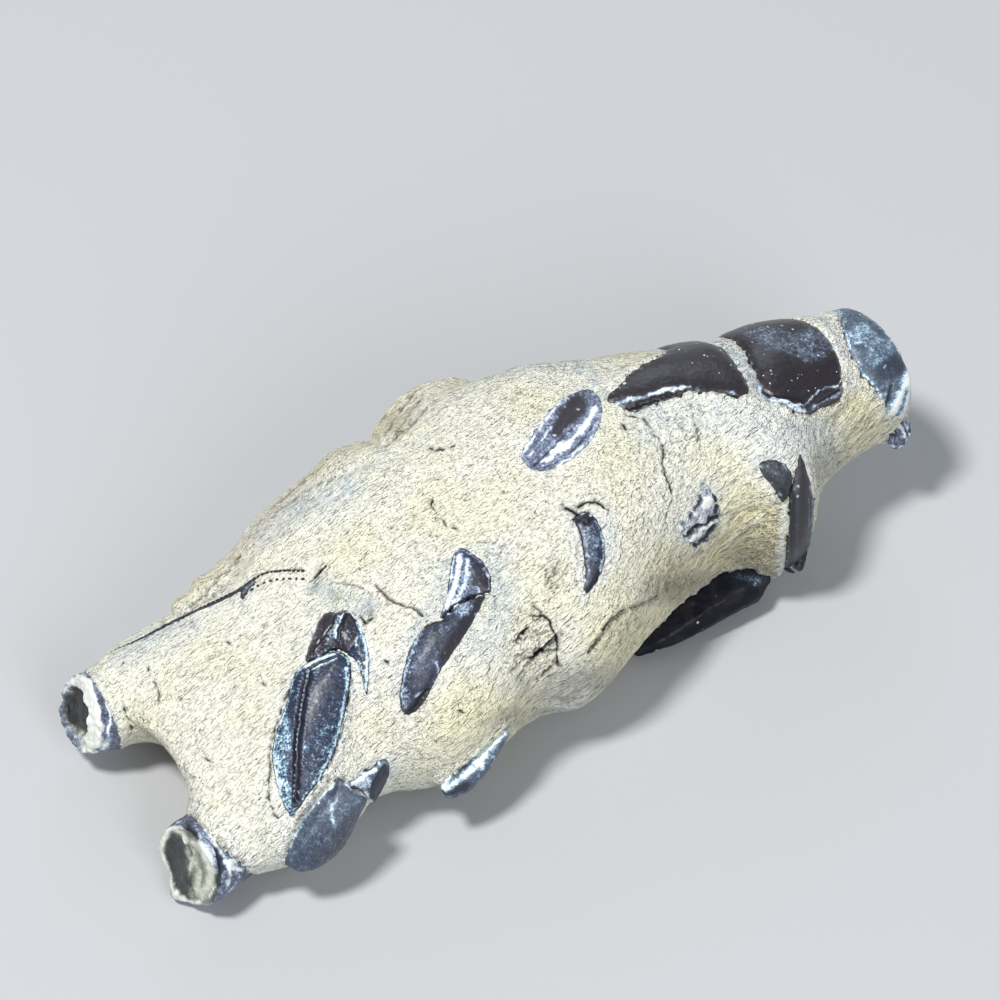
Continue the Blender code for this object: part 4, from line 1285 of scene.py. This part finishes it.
def addRelief(high, points, rough, bare, away):
    # lays the stone's lumps, streaks and torn spots on, and returns the painted shade that darkens the torn
    # spots' hollows
    level, wave = stoneSet["lumpNear"]
    for key in ("broad", "middle", "small", "tiny"):
        size, amount = stoneSet[key]
        lumps = amount * ripple(points, size, stoneSet["lumpSeed"]) * (level + wave * away)
        high += lumps * (1 + rough * (size < stoneSet["coarsest"]))
    level, wave = stoneSet["streakNear"]
    streaks = stoneSet["streakHigh"] * ripple(streakPlaces(points), 1.0)
    high += streaks * (level + wave * bare) * away
    torn = ripple(streakPlaces(points) * stoneSet["tornStretch"], 1.0, stoneSet["tornSeed"])
    torn = torn + stoneSet["tornShare"] * ripple(points, *stoneSet["tornGrain"])
    high += stoneSet["tornHigh"] * rough * (torn / 2 - smoothStep(*stoneSet["tornDeep"], torn))
    dark = rough * smoothStep(*stoneSet["tornDark"], torn)
    return dark * noiseStep(points, stoneSet["tornForm"], stoneSet["tornSpread"])


def buildStone():
    mesh = refineCracks(skinMesh)
    points, normals = pointsOf(mesh), normalsOf(mesh)
    spots = toView(points)
    seen = smoothStep(*stoneSet["seen"], normals @ backward)
    hidden = 1 - seen
    fields = newFields(len(points))
    bent = spots + stoneSet["bend"] * wavering(points, *stoneSet["bendForm"])
    paintStrokes(fields, bent, stoneStrokes)
    paintPatches(fields, bent, stonePatches)
    paintStrokes(fields, bent, [{**stoneSet["crack"], **crack} for crack in cracksAndShadowLines])
    for key in fields:
        fields[key] *= seen
    level, wave = stoneSet["warmLevel"]
    warm = sum(ovalCover(spots, mark) for mark in warmPatches) * seen
    warm = np.clip(warm + hidden * (level + wave * ripple(points, *stoneSet["warmForm"])), 0, 1)
    # soil darkening on the lower edges and, by noise, on faces turned from the view: partly a soil tone,
    # partly painted shade
    soil = sum(ovalCover(spots, mark) for mark in soilAndShadePatches) * seen
    more = hidden * noiseStep(points, stoneSet["soilForm"], stoneSet["soilStep"])
    soil = np.clip(soil + more * stoneSet["soilHidden"], 0, 1)
    rough = fields["rough"].copy()
    for mark in tornSpots:
        rough += ovalCover(spots, mark) * seen
    rough = np.clip(rough + stoneSet["soilRough"] * soil, 0, 1)

    down, gaps = underShell(points, normals, edgesOf(mesh))
    away = smoothStep(*stoneSet["away"], gaps)
    high = fields["high"]
    torn = addRelief(high, points, rough, np.clip(warm + soil, 0, 1), away)
    high = np.where(np.isnan(down), high, down)
    moved = points + normals * high[:, None]
    moved[:, 2] = np.maximum(moved[:, 2], 0.0)
    setPoints(mesh, moved)
    mesh.shade_smooth()

    halo = sum(amount * bell(gaps / reach) for reach, amount in stoneSet["halo"])
    level, wave = stoneSet["haloLevel"]
    halo *= level + wave * ripple(points, *stoneSet["haloForm"])
    level, wave = stoneSet["openLevel"]
    bare = smoothStep(*stoneSet["openAway"], gaps) * smoothStep(*stoneSet["openHigh"], moved[:, 2])
    bare = bare * (level + wave * noiseStep(points, stoneSet["openForm"], stoneSet["openStep"]))
    # the dark field adds to the cracks the painted shade in the torn spots' hollows
    painted = {
        "halo": np.maximum(halo, fields["pale"]), "blue": fields["blue"], "soil": soil, "rough": rough,
        "warm": warm * (1 - stoneSet["warmPale"] * fields["pale"]), "rust": fields["brown"],
        "dark": stoneSet["darker"] * fields["dark"] + torn, "open": bare,
    }
    for name, values in painted.items():
        setField(mesh, name, values)
    return newObject("stone", mesh)


stone = buildStone()
print("stone:", sum(len(face.vertices) - 2 for face in stone.data.polygons), "triangles")


# materials

def nodeMaker(tree):
    def node(kind, sockets=None, **options):
        made = tree.nodes.new(kind)
        for key, value in options.items():
            setattr(made, key, value)
        for key, value in (sockets or {}).items():
            if isinstance(value, bpy.types.NodeSocket):
                tree.links.new(value, made.inputs[key])
            else:
                made.inputs[key].default_value = value
        return made

    return node


def newLook(name):
    look = bpy.data.materials.new(name)
    look.use_nodes = True
    look.node_tree.nodes.clear()
    return look, nodeMaker(look.node_tree)


def mixed(node, factor, first, second):
    first = (*first, 1.0) if isinstance(first, tuple) else first
    second = (*second, 1.0) if isinstance(second, tuple) else second
    return node("ShaderNodeMix", {0: factor, 6: first, 7: second}, data_type="RGBA").outputs[2]


def product(node, first, second):
    return node("ShaderNodeMath", {0: first, 1: second}, operation="MULTIPLY", use_clamp=True).outputs[0]


def ramped(node, value, low, high):
    return node("ShaderNodeMapRange", {0: value, 1: low, 2: high, 3: 0.0, 4: 1.0}).outputs[0]


def weighed(node, start, parts):
    # a start value plus each part times its weight
    total = start
    for value, weight in parts:
        total = node("ShaderNodeMath", {0: value, 1: weight, 2: total}, operation="MULTIPLY_ADD").outputs[0]
    return total


def stepped(node, value, stops):
    made = node("ShaderNodeValToRGB", {"Fac": value})
    scale = made.id_data.nodes[made.name].color_ramp
    while len(scale.elements) < len(stops):
        scale.elements.new(0.5)
    for element, (place, colour) in zip(scale.elements, stops):
        element.position = place
        element.color = (*colour, 1.0)
    return made.outputs["Color"]


def field(node, name):
    return node("ShaderNodeAttribute", attribute_name=name).outputs["Fac"]


def grain(node, places, scale, detail=2.0, rough=0.5):
    sockets = {"Vector": places, "Scale": scale, "Detail": detail, "Roughness": rough}
    return node("ShaderNodeTexNoise", sockets).outputs[0]


def leaning(node, places, turn, size, rough):
    # noise stretched along a slanted line
    sockets = {"Vector": places, "Rotation": turn, "Scale": size}
    turned = node("ShaderNodeMapping", sockets, vector_type="TEXTURE").outputs[0]
    return grain(node, turned, 1.0, 2.0, rough)


def bumped(node, layers):
    # bumps laid one on another, each a height, a strength and a distance in metres
    under = {}
    for height, strength, distance in layers:
        sockets = {"Height": height, "Strength": strength, "Distance": distance, **under}
        under = {"Normal": node("ShaderNodeBump", sockets).outputs[0]}
    return under["Normal"]


speckLook = {"dark": (0.05, 0.048, 0.042), "white": (0.86, 0.89, 0.88), "bead": (0.30, 0.38, 0.48),
             "tooth": (0.03, 0.032, 0.045)}
speckSet = {"roughness": 0.6, "worn": 0.45, "step": (0.3, 0.7)}


def plainMaterial(name, colour):
    look, node = newLook(name)
    places = node("ShaderNodeTexCoord").outputs["Object"]
    cloud = ramped(node, grain(node, places, shellShades["cloudScale"]), *speckSet["step"])
    worn = tuple(speckSet["worn"] * part for part in colour)
    shade = mixed(node, cloud, worn, colour)
    sockets = {"Base Color": shade, "Roughness": speckSet["roughness"]}
    shader = node("ShaderNodeBsdfPrincipled", sockets)
    node("ShaderNodeOutputMaterial", {"Surface": shader.outputs[0]})
    return look


stoneLook = {
    "cream": (0.93, 0.92, 0.81), "butter": (0.94, 0.90, 0.66), "ochre": (0.80, 0.73, 0.48),
    "ochreDeep": (0.25, 0.235, 0.155), "soil": (0.19, 0.185, 0.165), "white": (0.88, 0.91, 0.91),
    "blue": (0.56, 0.65, 0.69), "black": (0.010, 0.012, 0.018), "rust": (0.62, 0.55, 0.41),
    "grainScale": 3600.0, "midScale": 620.0, "patchScale": 70.0, "speckScale": 620.0,
    "streakTurn": (0.0, radians(-24.0), 0.0), "streakSize": (0.0022, 0.00062, 0.00062),
    "hatchSize": (0.00105, 0.00042, 0.00042), "roughness": 0.88, "specular": 0.25,
    "butterStart": -0.2, "butterStep": (0.42, 0.6), "butterPatch": 0.75, "butterWarm": 1.4,
    "ochreStep": (0.35, 1.0), "soilStep": (0.2, 0.6), "whiteStep": (0.2, 0.6), "blueStep": (0.3, 0.7),
    "rustStep": (0.3, 0.6), "lineThin": 0.05, "lineStep": (0.34, 0.62), "dentStep": (0.42, 0.26),
    "poreStep": (0.44, 0.30), "clearStep": (0.3, 0.6), "scratchStep": (0.50, 0.40), "scratchStart": 0.05,
    "scratchOn": {"warm": 1.1, "soil": 0.6, "rough": 0.3}, "speckStep": (0.15, 0.09),
    "speckClear": (0.6, 0.68), "speckDark": 0.8, "brokenStep": (0.5, 0.34), "brokenDark": 0.7,
    "shades": {"lines": 0.28, "dents": 0.5, "pores": 0.4, "scratches": 0.52},
    "bumps": {"middle": (0.7, 0.00035), "streak": (1.0, 0.0012), "hatch": (1.0, 0.00065),
              "fine": (0.9, 0.00022)},
}


def netOf(node, value, thin):
    # thin lines where smooth noise passes its middle
    away = node("ShaderNodeMath", {0: value, 1: 0.5}, operation="SUBTRACT").outputs[0]
    return ramped(node, node("ShaderNodeMath", {0: away}, operation="ABSOLUTE").outputs[0], thin, 0.0)


def stoneMaterial(settings):
    look, node = newLook("creamStone")
    places = node("ShaderNodeTexCoord").outputs["Object"]

    def step(value, name):
        return ramped(node, value, *settings[name])

    fine = grain(node, places, settings["grainScale"], 2.0, 0.6)
    middle = grain(node, places, settings["midScale"], 3.0, 0.6)
    patchy = grain(node, places, settings["patchScale"], 2.0)
    streak = leaning(node, places, settings["streakTurn"], settings["streakSize"], 0.55)
    hatch = leaning(node, places, settings["streakTurn"], settings["hatchSize"], 0.6)
    given = {key: field(node, key) for key in ("warm", "soil", "halo", "blue", "dark", "rust", "rough")}

    buttery = weighed(node, settings["butterStart"], ((step(patchy, "butterStep"), settings["butterPatch"]),
                                                      (given["warm"], settings["butterWarm"])))
    colour = mixed(node, buttery, settings["cream"], settings["butter"])
    colour = mixed(node, step(given["warm"], "ochreStep"), colour, settings["ochre"])
    # the soil tint is partly painted shade on the lower edges and hidden faces; halo, blue and rust are the
    # stone's own tints
    for key, tone, over in (("soil", "soil", streak), ("halo", "white", middle), ("blue", "blue", middle),
                            ("rust", "rust", streak)):
        colour = mixed(node, product(node, given[key], step(over, tone + "Step")), colour, settings[tone])
    thin = settings["lineThin"]
    scratchShadeWeights = [(given[key], weight) for key, weight in settings["scratchOn"].items()]
    # painted shade: the net lines, dents, pores and scratches darken the low places of the bump relief
    # towards deep ochre, together with the grain's own dark
    marks = {
        "lines": product(node, netOf(node, hatch, thin), step(middle, "lineStep")),
        "dents": product(node, step(hatch, "dentStep"), step(middle, "clearStep")),
        "pores": product(node, step(fine, "poreStep"), step(middle, "clearStep")),
        "scratches": product(node, step(streak, "scratchStep"),
                             weighed(node, settings["scratchStart"], scratchShadeWeights)),
    }
    shade = weighed(node, 0.0, [(marks[key], weight) for key, weight in settings["shades"].items()])
    colour = mixed(node, shade, colour, settings["ochreDeep"])
    dots = node("ShaderNodeTexVoronoi", {"Vector": places, "Scale": settings["speckScale"]})
    dots = product(node, step(dots.outputs["Distance"], "speckStep"), step(middle, "speckClear"))
    colour = mixed(node, product(node, dots, settings["speckDark"]), colour, settings["soil"])
    # painted shade in the low pits of the fine relief of rough places
    broken = product(node, given["rough"], step(fine, "brokenStep"))
    colour = mixed(node, product(node, broken, settings["brokenDark"]), colour, settings["soil"])
    colour = mixed(node, given["dark"], colour, settings["black"])

    heights = {"middle": middle, "streak": streak, "hatch": hatch, "fine": fine}
    rise = bumped(node, [(heights[key], *amounts) for key, amounts in settings["bumps"].items()])
    sockets = {"Base Color": colour, "Roughness": settings["roughness"],
               "Specular IOR Level": settings["specular"], "Normal": rise}
    shader = node("ShaderNodeBsdfPrincipled", sockets)
    node("ShaderNodeOutputMaterial", {"Surface": shader.outputs[0]})
    return look


shellLooks = {
    "blueShell": {"base": (0.012, 0.016, 0.04), "second": (0.034, 0.052, 0.108), "start": 0.2,
        "rough": 0.4},
    "brownShell": {"base": (0.016, 0.013, 0.02), "second": (0.048, 0.042, 0.055), "start": 0.2,
        "rough": 0.32},
    "plateShell": {"base": (0.02, 0.016, 0.021), "second": (0.036, 0.034, 0.042), "start": 0.14,
        "rough": 0.34, "blue": (0.1, 0.13, 0.19), "blueWhite": (0.4, 0.52, 0.62),
        "contrast": (0.9, 0.7, 0.5)},
    "slateShell": {"base": (0.026, 0.036, 0.062), "second": (0.072, 0.1, 0.15), "start": 0.3,
        "rough": 0.45, "blue": (0.19, 0.27, 0.37), "contrast": (0.9, 0.7, 0.5)},
    "ringShell": {"base": (0.04, 0.058, 0.09), "second": (0.105, 0.15, 0.215), "start": 0.32,
        "rough": 0.45, "blue": (0.26, 0.38, 0.5), "contrast": (1.1, 0.8, 0.6)},
    "ashShell": {"base": (0.055, 0.058, 0.07), "second": (0.21, 0.23, 0.26), "start": 0.42, "rough": 0.7,
        "blue": (0.42, 0.47, 0.54), "blueWhite": (0.68, 0.71, 0.72)},
    "lilacShell": {"base": (0.026, 0.029, 0.055), "second": (0.095, 0.11, 0.175), "start": 0.3,
        "rough": 0.5, "blue": (0.24, 0.3, 0.42), "blueWhite": (0.62, 0.7, 0.8),
        "contrast": (1.0, 0.8, 0.5)},
    "duskShell": {"base": (0.016, 0.019, 0.036), "second": (0.046, 0.058, 0.098), "start": 0.2,
        "rough": 0.48, "blue": (0.18, 0.25, 0.37), "blueWhite": (0.6, 0.69, 0.8),
        "contrast": (1.2, 0.8, 0.5)},
    "greyShell": {"base": (0.02, 0.022, 0.03), "second": (0.044, 0.05, 0.064), "start": 0.22, "rough": 0.5,
        "blue": (0.12, 0.15, 0.2), "blueWhite": (0.36, 0.43, 0.5), "contrast": (0.8, 0.6, 0.5)},
    # painted shade: the near-black shell of the under claw stands for the shadow it lies in
    "deepShell": {"base": (0.002, 0.003, 0.008), "second": (0.007, 0.01, 0.02), "start": 0.12,
        "rough": 0.6, "shine": 0.15, "blue": (0.05, 0.08, 0.12), "blueWhite": (0.2, 0.27, 0.34),
        "contrast": (0.8, 0.6, 0.5)},
}
shellShades = {
    "blue": (0.20, 0.34, 0.46), "blueWhite": (0.70, 0.88, 0.95), "pale": (0.84, 0.86, 0.82),
    "brown": (0.034, 0.028, 0.036), "black": (0.003, 0.003, 0.006),
    "mineral": ((0.05, (0.018, 0.020, 0.022)), (0.25, (0.055, 0.060, 0.060)), (0.45, (0.26, 0.27, 0.23)),
                (0.62, (0.62, 0.64, 0.54)), (0.9, (0.90, 0.92, 0.90))),
    "steps": {"base": 0.10, "second": 0.42, "blue": 0.62, "blueWhite": 0.86, "pale": 1.0},
    "dotScale": 3600.0, "mottleScale": 1500.0, "cloudScale": 420.0, "speckScale": 420.0,
    "contrast": (1.5, 0.9, 0.5), "blueLift": 0.42, "paleLift": 0.85, "darkDrop": -1.2,
    "brownStep": (0.75, 0.45), "speckStep": (0.12, 0.07), "speckClear": (0.45, 0.6), "speckPale": 0.8,
    "fillStart": -0.26, "fillOn": (0.75, 0.35, 0.45, 0.12), "paleRough": 0.3, "blueRough": 0.08,
    "coat": 0.2, "coatRough": 0.3, "shine": 0.5,
    "middleBump": (0.5, 0.00014), "fineBump": (0.5, 0.00008),
}


def shellMaterial(name, settings):
    look, node = newLook(name)
    shades = {**shellShades, **settings}
    places = node("ShaderNodeTexCoord").outputs["Object"]
    fine = grain(node, places, shades["dotScale"], 2.0, 0.6)
    middle = grain(node, places, shades["mottleScale"], 3.0, 0.6)
    cloud = grain(node, places, shades["cloudScale"], 2.0)
    pale, blue, brown, dark = (field(node, key) for key in ("pale", "blue", "brown", "dark"))

    contrast = shades["contrast"]
    layers = [*zip((fine, middle, cloud), contrast), (blue, shades["blueLift"]), (pale, shades["paleLift"]),
              (dark, shades["darkDrop"])]
    level = weighed(node, shades["start"] - sum(contrast) / 2, layers)
    colour = stepped(node, level, [(place, shades[key]) for key, place in shades["steps"].items()])
    browner = product(node, brown, ramped(node, level, *shades["brownStep"]))
    colour = mixed(node, browner, colour, shades["brown"])
    specks = node("ShaderNodeTexVoronoi", {"Vector": places, "Scale": shades["speckScale"]})
    specks = product(node, ramped(node, specks.outputs["Distance"], *shades["speckStep"]),
                     ramped(node, middle, *shades["speckClear"]))
    colour = mixed(node, product(node, specks, shades["speckPale"]), colour, shades["pale"])
    filled = weighed(node, shades["fillStart"], zip((pale, fine, cloud, brown), shades["fillOn"]))
    colour = mixed(node, field(node, "rough"), colour, stepped(node, filled, shades["mineral"]))
    colour = mixed(node, dark, colour, shades["black"])
    rougher = weighed(node, shades["rough"], ((pale, shades["paleRough"]), (blue, shades["blueRough"])))

    rise = bumped(node, ((middle, *shades["middleBump"]), (fine, *shades["fineBump"])))
    sockets = {"Base Color": colour, "Roughness": rougher, "Coat Weight": shades["coat"],
               "Coat Roughness": shades["coatRough"], "Specular IOR Level": shades["shine"], "Normal": rise}
    shader = node("ShaderNodeBsdfPrincipled", sockets)
    node("ShaderNodeOutputMaterial", {"Surface": shader.outputs[0]})
    return look


# repeated small forms by geometry nodes

def newGroup(name, inputs):
    tree = bpy.data.node_groups.new(name, "GeometryNodeTree")
    tree.interface.new_socket("Geometry", in_out="OUTPUT", socket_type="NodeSocketGeometry")
    tree.interface.new_socket("Geometry", in_out="INPUT", socket_type="NodeSocketGeometry")
    for label, kind in inputs.items():
        tree.interface.new_socket(label, in_out="INPUT", socket_type="NodeSocket" + kind)
    node = nodeMaker(tree)
    return tree, node, node("NodeGroupInput").outputs


grainSet = {"segments": 8, "rings": 5, "rowSeed": 1, "rowUneven": 0.35, "high": 0.05, "uneven": 0.6}
sizeInputs = {"Wide": "Float", "High": "Float", "Uneven": "Float", "Seed": "Int", "Material": "Material"}


def unevenSize(node, given):
    # an uneven size for each of the repeated forms
    made = node("FunctionNodeRandomValue", {"Seed": given["Seed"]}, data_type="FLOAT_VECTOR")
    for key, operation in (("Min", "SUBTRACT"), ("Max", "ADD")):
        share = node("ShaderNodeMath", {0: 1.0, 1: given["Uneven"]}, operation=operation).outputs[0]
        corner = node("ShaderNodeCombineXYZ", {0: share, 1: share, 2: share}).outputs[0]
        made.id_data.links.new(corner, made.inputs[key])
    size = node("ShaderNodeCombineXYZ", {0: given["Wide"], 1: given["Wide"], 2: given["High"]}).outputs[0]
    return node("ShaderNodeVectorMath", {0: size, 1: made.outputs[0]}, operation="MULTIPLY").outputs[0]


def finishGroup(tree, node, given, places):
    ball = node("GeometryNodeMeshUVSphere", {"Segments": grainSet["segments"], "Rings": grainSet["rings"],
                                             "Radius": 1.0}).outputs[0]
    sockets = {"Points": places["Points"], "Instance": ball, "Rotation": places["Rotation"],
               "Scale": unevenSize(node, given)}
    shapes = node("GeometryNodeInstanceOnPoints", sockets).outputs[0]
    shapes = node("GeometryNodeRealizeInstances", {"Geometry": shapes}).outputs[0]
    shapes = node("GeometryNodeSetShadeSmooth", {"Geometry": shapes}).outputs[0]
    sockets = {"Geometry": shapes, "Material": given["Material"]}
    shapes = node("GeometryNodeSetMaterial", sockets).outputs[0]
    node("NodeGroupOutput", {"Geometry": shapes})
    return tree


def rowGroup():
    # forms at even gaps along a line
    tree, node, given = newGroup("row", {"Gap": "Float", **sizeInputs})
    line = node("GeometryNodeMeshToCurve", {"Mesh": given["Geometry"]}).outputs[0]
    sockets = {"Curve": line, "Length": given["Gap"]}
    places = node("GeometryNodeCurveToPoints", sockets, mode="LENGTH").outputs
    return finishGroup(tree, node, given, places)


def scatterGroup():
    # forms strewn over a surface where its open attribute says so
    tree, node, given = newGroup("scatter", {"Density": "Float", **sizeInputs})
    bare = node("GeometryNodeInputNamedAttribute", {"Name": "open"}, data_type="FLOAT")
    sockets = {0: bare.outputs["Attribute"], 1: given["Density"]}
    amount = node("ShaderNodeMath", sockets, operation="MULTIPLY").outputs[0]
    sockets = {"Mesh": given["Geometry"], "Density": amount, "Seed": given["Seed"]}
    places = node("GeometryNodeDistributePointsOnFaces", sockets).outputs
    return finishGroup(tree, node, given, places)


def repeated(name, mesh, group, values):
    made = newObject(name, mesh)
    repeat = made.modifiers.new("repeat", "NODES")
    repeat.node_group = group
    for item in group.interface.items_tree:
        if item.in_out == "INPUT" and item.name in values:
            repeat[item.identifier] = values[item.name]
    result = applied(made)
    bpy.data.objects.remove(made)
    return newObject(name, result)


def rowLine(row):
    feet, normals = dropOnSkin(smoothCurve(row["path"], brush["gap"]))
    points = feet + row["lift"] * normals
    mesh = bpy.data.meshes.new(row["name"])
    mesh.from_pydata((points * mm).tolist(), [(i, i + 1) for i in range(len(points) - 1)], [])
    return mesh


rows = [
    {"name": "palmBeads", "lift": 0.62, "gap": 0.62, "wide": 0.17, "high": 0.22, "colour": "bead",
     "path": [(310, 673), (305, 694), (301, 716), (297, 746), (295, 772), (294, 796)]},
    {"name": "feelerTeeth", "lift": 0.02, "gap": 0.62, "wide": 0.19, "high": 0.30, "colour": "tooth",
     "path": [(246, 585), (254, 579), (266, 573), (282, 571), (303, 571)]},
    {"name": "feelerDots", "lift": 0.0, "gap": 0.85, "wide": 0.19, "high": 0.24, "colour": "tooth",
     "path": [(246, 594), (256, 587), (270, 581), (286, 579), (303, 579)]},
    {"name": "feelerThread", "lift": 0.04, "gap": 0.6, "wide": 0.11, "high": 0.26, "colour": "tooth",
     "path": [(112, 652), (140, 639), (170, 623), (205, 606), (238, 590)]},
]
scatters = [
    {"name": "stoneSpecks", "on": "stone", "density": 30000.0, "wide": 0.10, "seed": 3, "colour": "dark",
     "slot": "cream_stone"},
    {"name": "plateOneGrains", "on": "abdomenPlateOne", "density": 90000.0, "wide": 0.11, "seed": 5,
     "colour": "white", "slot": "brown_shell"},
    {"name": "plateTwoGrains", "on": "abdomenPlateTwo", "density": 110000.0, "wide": 0.11, "seed": 7,
     "colour": "white", "slot": "brown_shell"},
    {"name": "plateThreeGrains", "on": "abdomenPlateThree", "density": 90000.0, "wide": 0.11, "seed": 9,
     "colour": "white", "slot": "brown_shell"},
]
plainLooks = {key: plainMaterial(key + "Grain", colour) for key, colour in speckLook.items()}
rowTree, scatterTree = rowGroup(), scatterGroup()
repeats = []
for row in rows:
    values = {"Gap": row["gap"] * mm, "Wide": row["wide"] * mm, "High": row["high"] * mm,
              "Uneven": grainSet["rowUneven"], "Seed": grainSet["rowSeed"],
              "Material": plainLooks[row["colour"]]}
    repeats.append((repeated(row["name"], rowLine(row), rowTree, values), "dark_shell"))
for item in scatters:
    base = stone if item["on"] == "stone" else shellPieces[item["on"]][0]
    values = {"Density": item["density"], "Wide": item["wide"] * mm, "High": grainSet["high"] * mm,
              "Uneven": grainSet["uneven"], "Seed": item["seed"], "Material": plainLooks[item["colour"]]}
    repeats.append((repeated(item["name"], base.data.copy(), scatterTree, values), item["slot"]))
print("repeats:", [(made.name, len(made.data.polygons)) for made, _ in repeats])

stone.data.materials.append(stoneMaterial(stoneLook))
looks = {name: shellMaterial(name, settings) for name, settings in shellLooks.items()}
for made, piece in shellPieces.values():
    made.data.materials.append(looks[piece["look"]])
print("materials done")


# floor, light and camera

studio = {
    "floor": 2.4, "floorColour": (0.50, 0.51, 0.53), "floorRough": 0.9,
    "world": (0.86, 0.92, 1.0), "worldPower": 0.28,
    "key": {"at": (-0.50, 0.02, 1.25), "size": 0.24, "power": 16.3, "colour": (1.0, 0.985, 0.955)},
    "fill": {"at": (-0.10, -0.90, 0.60), "size": 0.6, "power": 4.6, "colour": (0.96, 0.98, 1.0)},
    "back": {"at": (0.55, 0.75, 0.62), "size": 0.5, "power": 1.4, "colour": (0.78, 0.88, 1.0)},
}


def addLight(name, settings):
    lamp = bpy.data.lights.new(name, "AREA")
    lamp.shape = "DISK"
    lamp.size = settings["size"]
    lamp.energy = settings["power"]
    lamp.color = settings["colour"]
    made = newObject(name, lamp)
    made.location = settings["at"]
    made.rotation_euler = (-Vector(settings["at"])).to_track_quat("-Z", "Y").to_euler()


def addFloor():
    mesh = bpy.data.meshes.new("floor")
    shape = bmesh.new()
    bmesh.ops.create_grid(shape, x_segments=1, y_segments=1, size=studio["floor"])
    shape.to_mesh(mesh)
    shape.free()
    look, node = newLook("paleFloor")
    sockets = {"Base Color": (*studio["floorColour"], 1.0), "Roughness": studio["floorRough"]}
    shader = node("ShaderNodeBsdfPrincipled", sockets)
    node("ShaderNodeOutputMaterial", {"Surface": shader.outputs[0]})
    mesh.materials.append(look)
    floor = newObject("floor", mesh)


def addWorld():
    world = bpy.data.worlds.new("studio")
    world.use_nodes = True
    sky = world.node_tree.nodes["Background"]
    sky.inputs["Color"].default_value = (*studio["world"], 1.0)
    sky.inputs["Strength"].default_value = studio["worldPower"]
    bpy.context.scene.world = world


def addCamera():
    lens = bpy.data.cameras.new("view")
    lens.sensor_width = sight["sensor"]
    lens.lens = sight["sensor"] * sight["reach"] * sight["dotsPerMm"] / (2 * sight["middle"])
    lens.clip_start = sight["nearest"]
    made = newObject("view", lens)
    turn = Matrix((rightward, upward, backward)).transposed().to_4x4()
    made.matrix_world = Matrix.Translation(Vector(eye * mm)) @ turn
    bpy.context.scene.camera = made


addFloor()
addWorld()
for name in ("key", "fill", "back"):
    addLight(name, studio[name])
addCamera()
bpy.context.scene.view_settings.view_transform = "Standard"

# riding on the frame

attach(stone, "root")
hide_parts("matrix")
for made, piece in shellPieces.values():
    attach(made, "root")
    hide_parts(piece["node"])
for made, slot in repeats:
    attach(made, "root")
